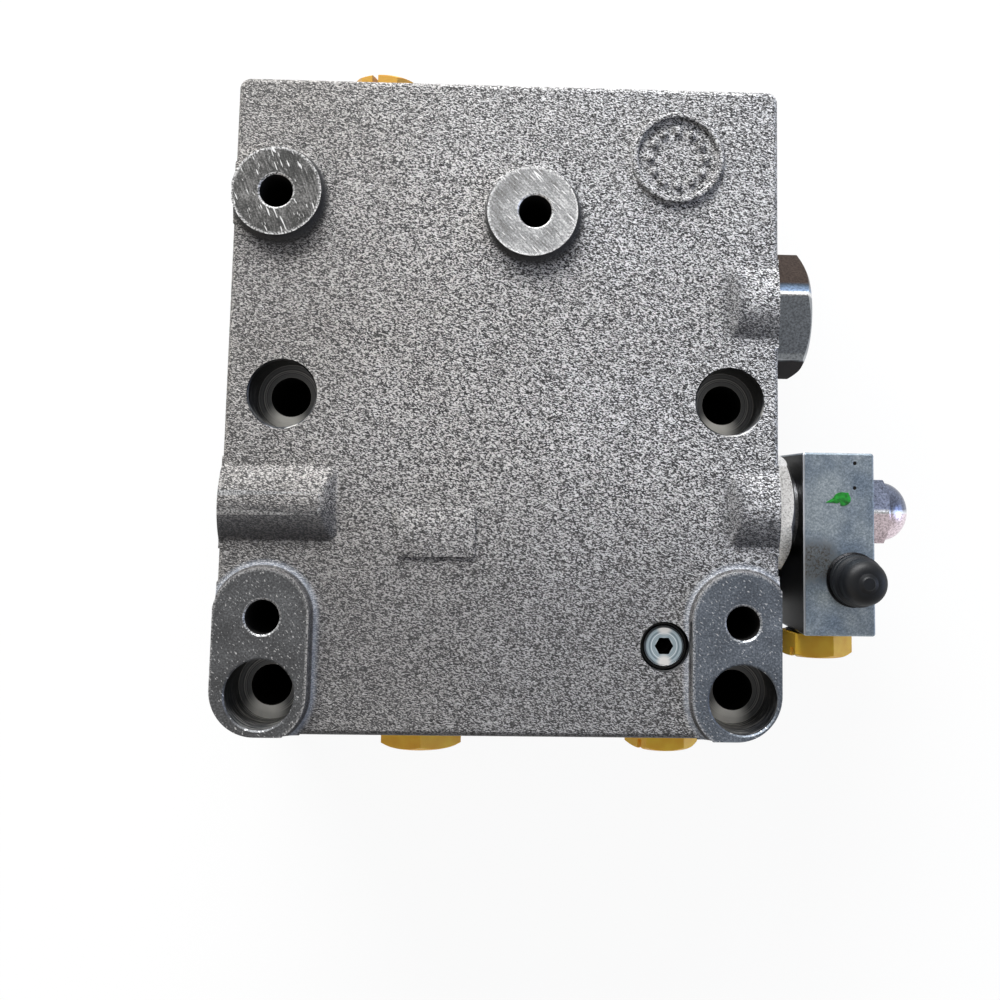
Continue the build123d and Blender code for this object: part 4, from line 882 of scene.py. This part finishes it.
# %% Copy each spring
# the node, its joint, the way that the joint pushes and its travel in mm
SPRINGS = (
    ("spool_spring", "spool_slide", (1, 0, 0), 6.0), ("relief_spring", "poppet_lift", (1, 0, 0), 2.5),
    ("nipple_spring", "test_pin_press", (0, 0, -1), 1.5),
)
for name, joint, push, travel in SPRINGS:
    low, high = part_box(name)
    spring = own_copy(nodes[name], name + "_coil")
    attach(spring, "valve")
    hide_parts(name)
    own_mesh(spring)

# %% [markdown]
# ## A date ring on the cast face
#
# A foundry presses a round insert into the sand beside the pattern: a raised ring, with one dot for
# each month that has passed. It could be a CAD feature, but it is only about a millimetre high and
# belongs to the skin, so it is modelled here: a disc is inset, its middle removed, the ring that is
# left pulled up and its edges rounded. One dot is a small disc, pulled up and narrowed, and copied.

# %% Edit helpers
def edges_where(test):
    """Select the edges of the active mesh whose two ends pass the test, and start editing."""
    bpy.ops.object.mode_set(mode="OBJECT")
    bpy.context.tool_settings.mesh_select_mode = (False, True, False)
    mesh = bpy.context.object.data
    for part in list(mesh.vertices) + list(mesh.polygons):
        part.select = False
    for edge in mesh.edges:
        ends = [mesh.vertices[number] for number in edge.vertices]
        edge.select = test(ends[0].co, ends[1].co)
        for end in ends:
            end.select = end.select or edge.select
    bpy.ops.object.mode_set(mode="EDIT")


def settle(name, finish):
    """Leave edit mode, put the place into the mesh, name the piece and finish it."""
    bpy.ops.object.mode_set(mode="OBJECT")
    bpy.ops.object.transform_apply(location=True, rotation=True, scale=True)
    piece = bpy.context.object
    piece.name = name
    piece.data.materials.clear()
    piece.data.materials.append(finish)
    bpy.ops.object.shade_smooth_by_angle(angle=math.radians(35))
    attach(piece, "valve")
    bpy.ops.object.select_all(action="DESELECT")
    return piece


print("edit helpers ready")

# %% Model the ring
# what stands on the cast face starts a little below it
RING_X, RING_Y, RING_RADIUS, RING_WALL, ROOT_Z = 46.4, 68.1, 12.9, 2.0, CAST_Z - 0.2
middle = (RING_X * MM, RING_Y * MM, ROOT_Z * MM)
bpy.ops.mesh.primitive_circle_add(vertices=96, radius=RING_RADIUS * MM, fill_type="NGON", location=middle)
bpy.ops.object.mode_set(mode="EDIT")
bpy.ops.mesh.select_all(action="SELECT")
bpy.ops.mesh.inset(thickness=RING_WALL * MM)
bpy.ops.mesh.delete(type="FACE")
bpy.ops.mesh.select_all(action="SELECT")
bpy.ops.mesh.extrude_region_move(TRANSFORM_OT_translate={"value": (0, 0, 1.4 * MM)})
edges_where(
    lambda first, last: min(first.z, last.z) > 0.5 * MM and abs(first.xy.length - last.xy.length) < 0.1 * MM
)
bpy.ops.mesh.bevel(offset=0.75 * MM, segments=4, affect="EDGES")
bpy.ops.mesh.select_all(action="SELECT")
bpy.ops.mesh.normals_make_consistent(inside=False)
ring = settle("date_ring", cast_skin)
print("ring", [round(side / MM, 2) for side in ring.dimensions])

# %% Model one dot and copy it round
DOTS, DOT_CIRCLE, DOT_RADIUS = 12, 7.6, 1.15
for number in range(DOTS):
    turn = 2 * math.pi * number / DOTS
    x, y = RING_X + DOT_CIRCLE * math.sin(turn), RING_Y + DOT_CIRCLE * math.cos(turn)
    place = (x * MM, y * MM, ROOT_Z * MM)
    if number == 0:
        bpy.ops.mesh.primitive_circle_add(
            vertices=20, radius=DOT_RADIUS * MM, fill_type="NGON", location=place
        )
        bpy.ops.object.mode_set(mode="EDIT")
        bpy.ops.mesh.select_all(action="SELECT")
        bpy.ops.mesh.extrude_region_move(TRANSFORM_OT_translate={"value": (0, 0, 0.8 * MM)})
        bpy.ops.mesh.inset(thickness=0.25 * MM)
        bpy.ops.transform.translate(value=(0, 0, 0.15 * MM))
        bpy.ops.mesh.inset(thickness=0.25 * MM)
        bpy.ops.transform.translate(value=(0, 0, 0.06 * MM))
        bpy.ops.object.mode_set(mode="OBJECT")
        first = bpy.context.object
    else:
        copy = own_copy(first, "date_dot")
        copy.location = place
        copy.select_set(True)
first.select_set(True)
bpy.context.view_layer.objects.active = first
bpy.ops.object.join()
bpy.ops.object.mode_set(mode="EDIT")
bpy.ops.mesh.select_all(action="SELECT")
bpy.ops.mesh.normals_make_consistent(inside=False)
dots = settle("date_dots", cast_skin)
print("dots", DOTS, "faces", len(dots.data.polygons))

# %% [markdown]
# ## A bare insert plate
#
# Beside the lower middle the mould holds a small loose plate, and its outline stays on the casting
# as a low raised rectangle. Nothing is written on it here. A cube is set to the plate's size, its
# upper corners rounded as sand rounds them, and its underside left inside the casting.

# %% Model the plate
PLATE_X, PLATE_Y, PLATE_SIZE = -17.15, -35.15, (20.7, 13.1, 1.0)
bpy.ops.mesh.primitive_cube_add(size=1.0, location=(PLATE_X * MM, PLATE_Y * MM, (CAST_Z + 0.1) * MM))
bpy.context.object.scale = [side * MM for side in PLATE_SIZE]
bpy.ops.object.transform_apply(location=False, rotation=False, scale=True)
edges_where(lambda first, last: abs(first.z - last.z) > 0.1 * MM)
bpy.ops.mesh.bevel(offset=1.2 * MM, segments=5, affect="EDGES")
edges_where(lambda first, last: min(first.z, last.z) > 0.1 * MM)
bpy.ops.mesh.bevel(offset=0.25 * MM, segments=3, affect="EDGES")
plate = settle("insert_plate", cast_skin)
print("plate", [round(side / MM, 2) for side in plate.dimensions])

# %% [markdown]
# ## A dab of green paint
#
# A tester dabs a drop of paint on the block once the valve is set. Thick paint stands up a little,
# rounds off at its edge and shines, and the brush leaves a tail. A disc is stretched, some of its
# rim pulled out for the tail and some pushed in for the notch, and then it is pulled up and rounded.

# %% Paint
paint, tree, shader = new_material("green_marking_paint", Roughness=0.25, IOR=1.5)
here = add(tree, "TexCoord").outputs["Object"]
thick = add(tree, "TexNoise", {"Vector": here, "Scale": 1 / (1.4 * MM), "Detail": 3.0})
shade = add(tree, "ValToRGB", {0: thick.outputs["Fac"]}, stops=[(0.35, "#0c5a19"), (0.65, "#1c8a2c")])
bump = add(tree, "Bump", {"Height": thick.outputs["Fac"], "Distance": 0.25 * MM, "Strength": 0.8})
fill(tree, shader, {"Base Color": shade.outputs[0], "Normal": bump.outputs[0]})
print("paint nodes", len(tree.nodes))

# %% Model the dab
DAB_X, DAB_Y, DAB_RADIUS = 93.7, -24.6, 2.0
middle = (DAB_X * MM, DAB_Y * MM, (BLOCK_Z - 0.02) * MM)
bpy.ops.mesh.primitive_circle_add(vertices=48, radius=DAB_RADIUS * MM, fill_type="NGON", location=middle)
bpy.ops.object.mode_set(mode="EDIT")
bpy.ops.mesh.select_all(action="SELECT")
bpy.ops.transform.resize(value=(1.2, 0.94, 1.0))
bpy.ops.object.mode_set(mode="OBJECT")


def move_rim(first, last, shift):
    """Pull the rim between two angles, in degrees, by a shift that fades towards both ends."""
    for corner in bpy.context.object.data.vertices:
        angle = math.degrees(math.atan2(corner.co.y, corner.co.x)) % 360
        share = 1 - abs(angle - (first + last) / 2) / ((last - first) / 2)
        if share > 0:
            corner.co.x += shift[0] * MM * share ** 2
            corner.co.y += shift[1] * MM * share ** 2


move_rim(165, 215, (-2.6, -0.7))
move_rim(210, 260, (0.7, 0.9))
move_rim(20, 70, (0.3, 0.35))
bpy.ops.object.mode_set(mode="EDIT")
bpy.ops.mesh.select_all(action="SELECT")
bpy.ops.mesh.extrude_region_move(TRANSFORM_OT_translate={"value": (0, 0, 0.12 * MM)})
bpy.ops.mesh.inset(thickness=0.25 * MM)
bpy.ops.transform.translate(value=(0, 0, 0.08 * MM))
bpy.ops.mesh.select_all(action="SELECT")
bpy.ops.mesh.normals_make_consistent(inside=False)
dab = settle("paint_dab", paint)
print("paint dab", [round(side / MM, 2) for side in dab.dimensions])
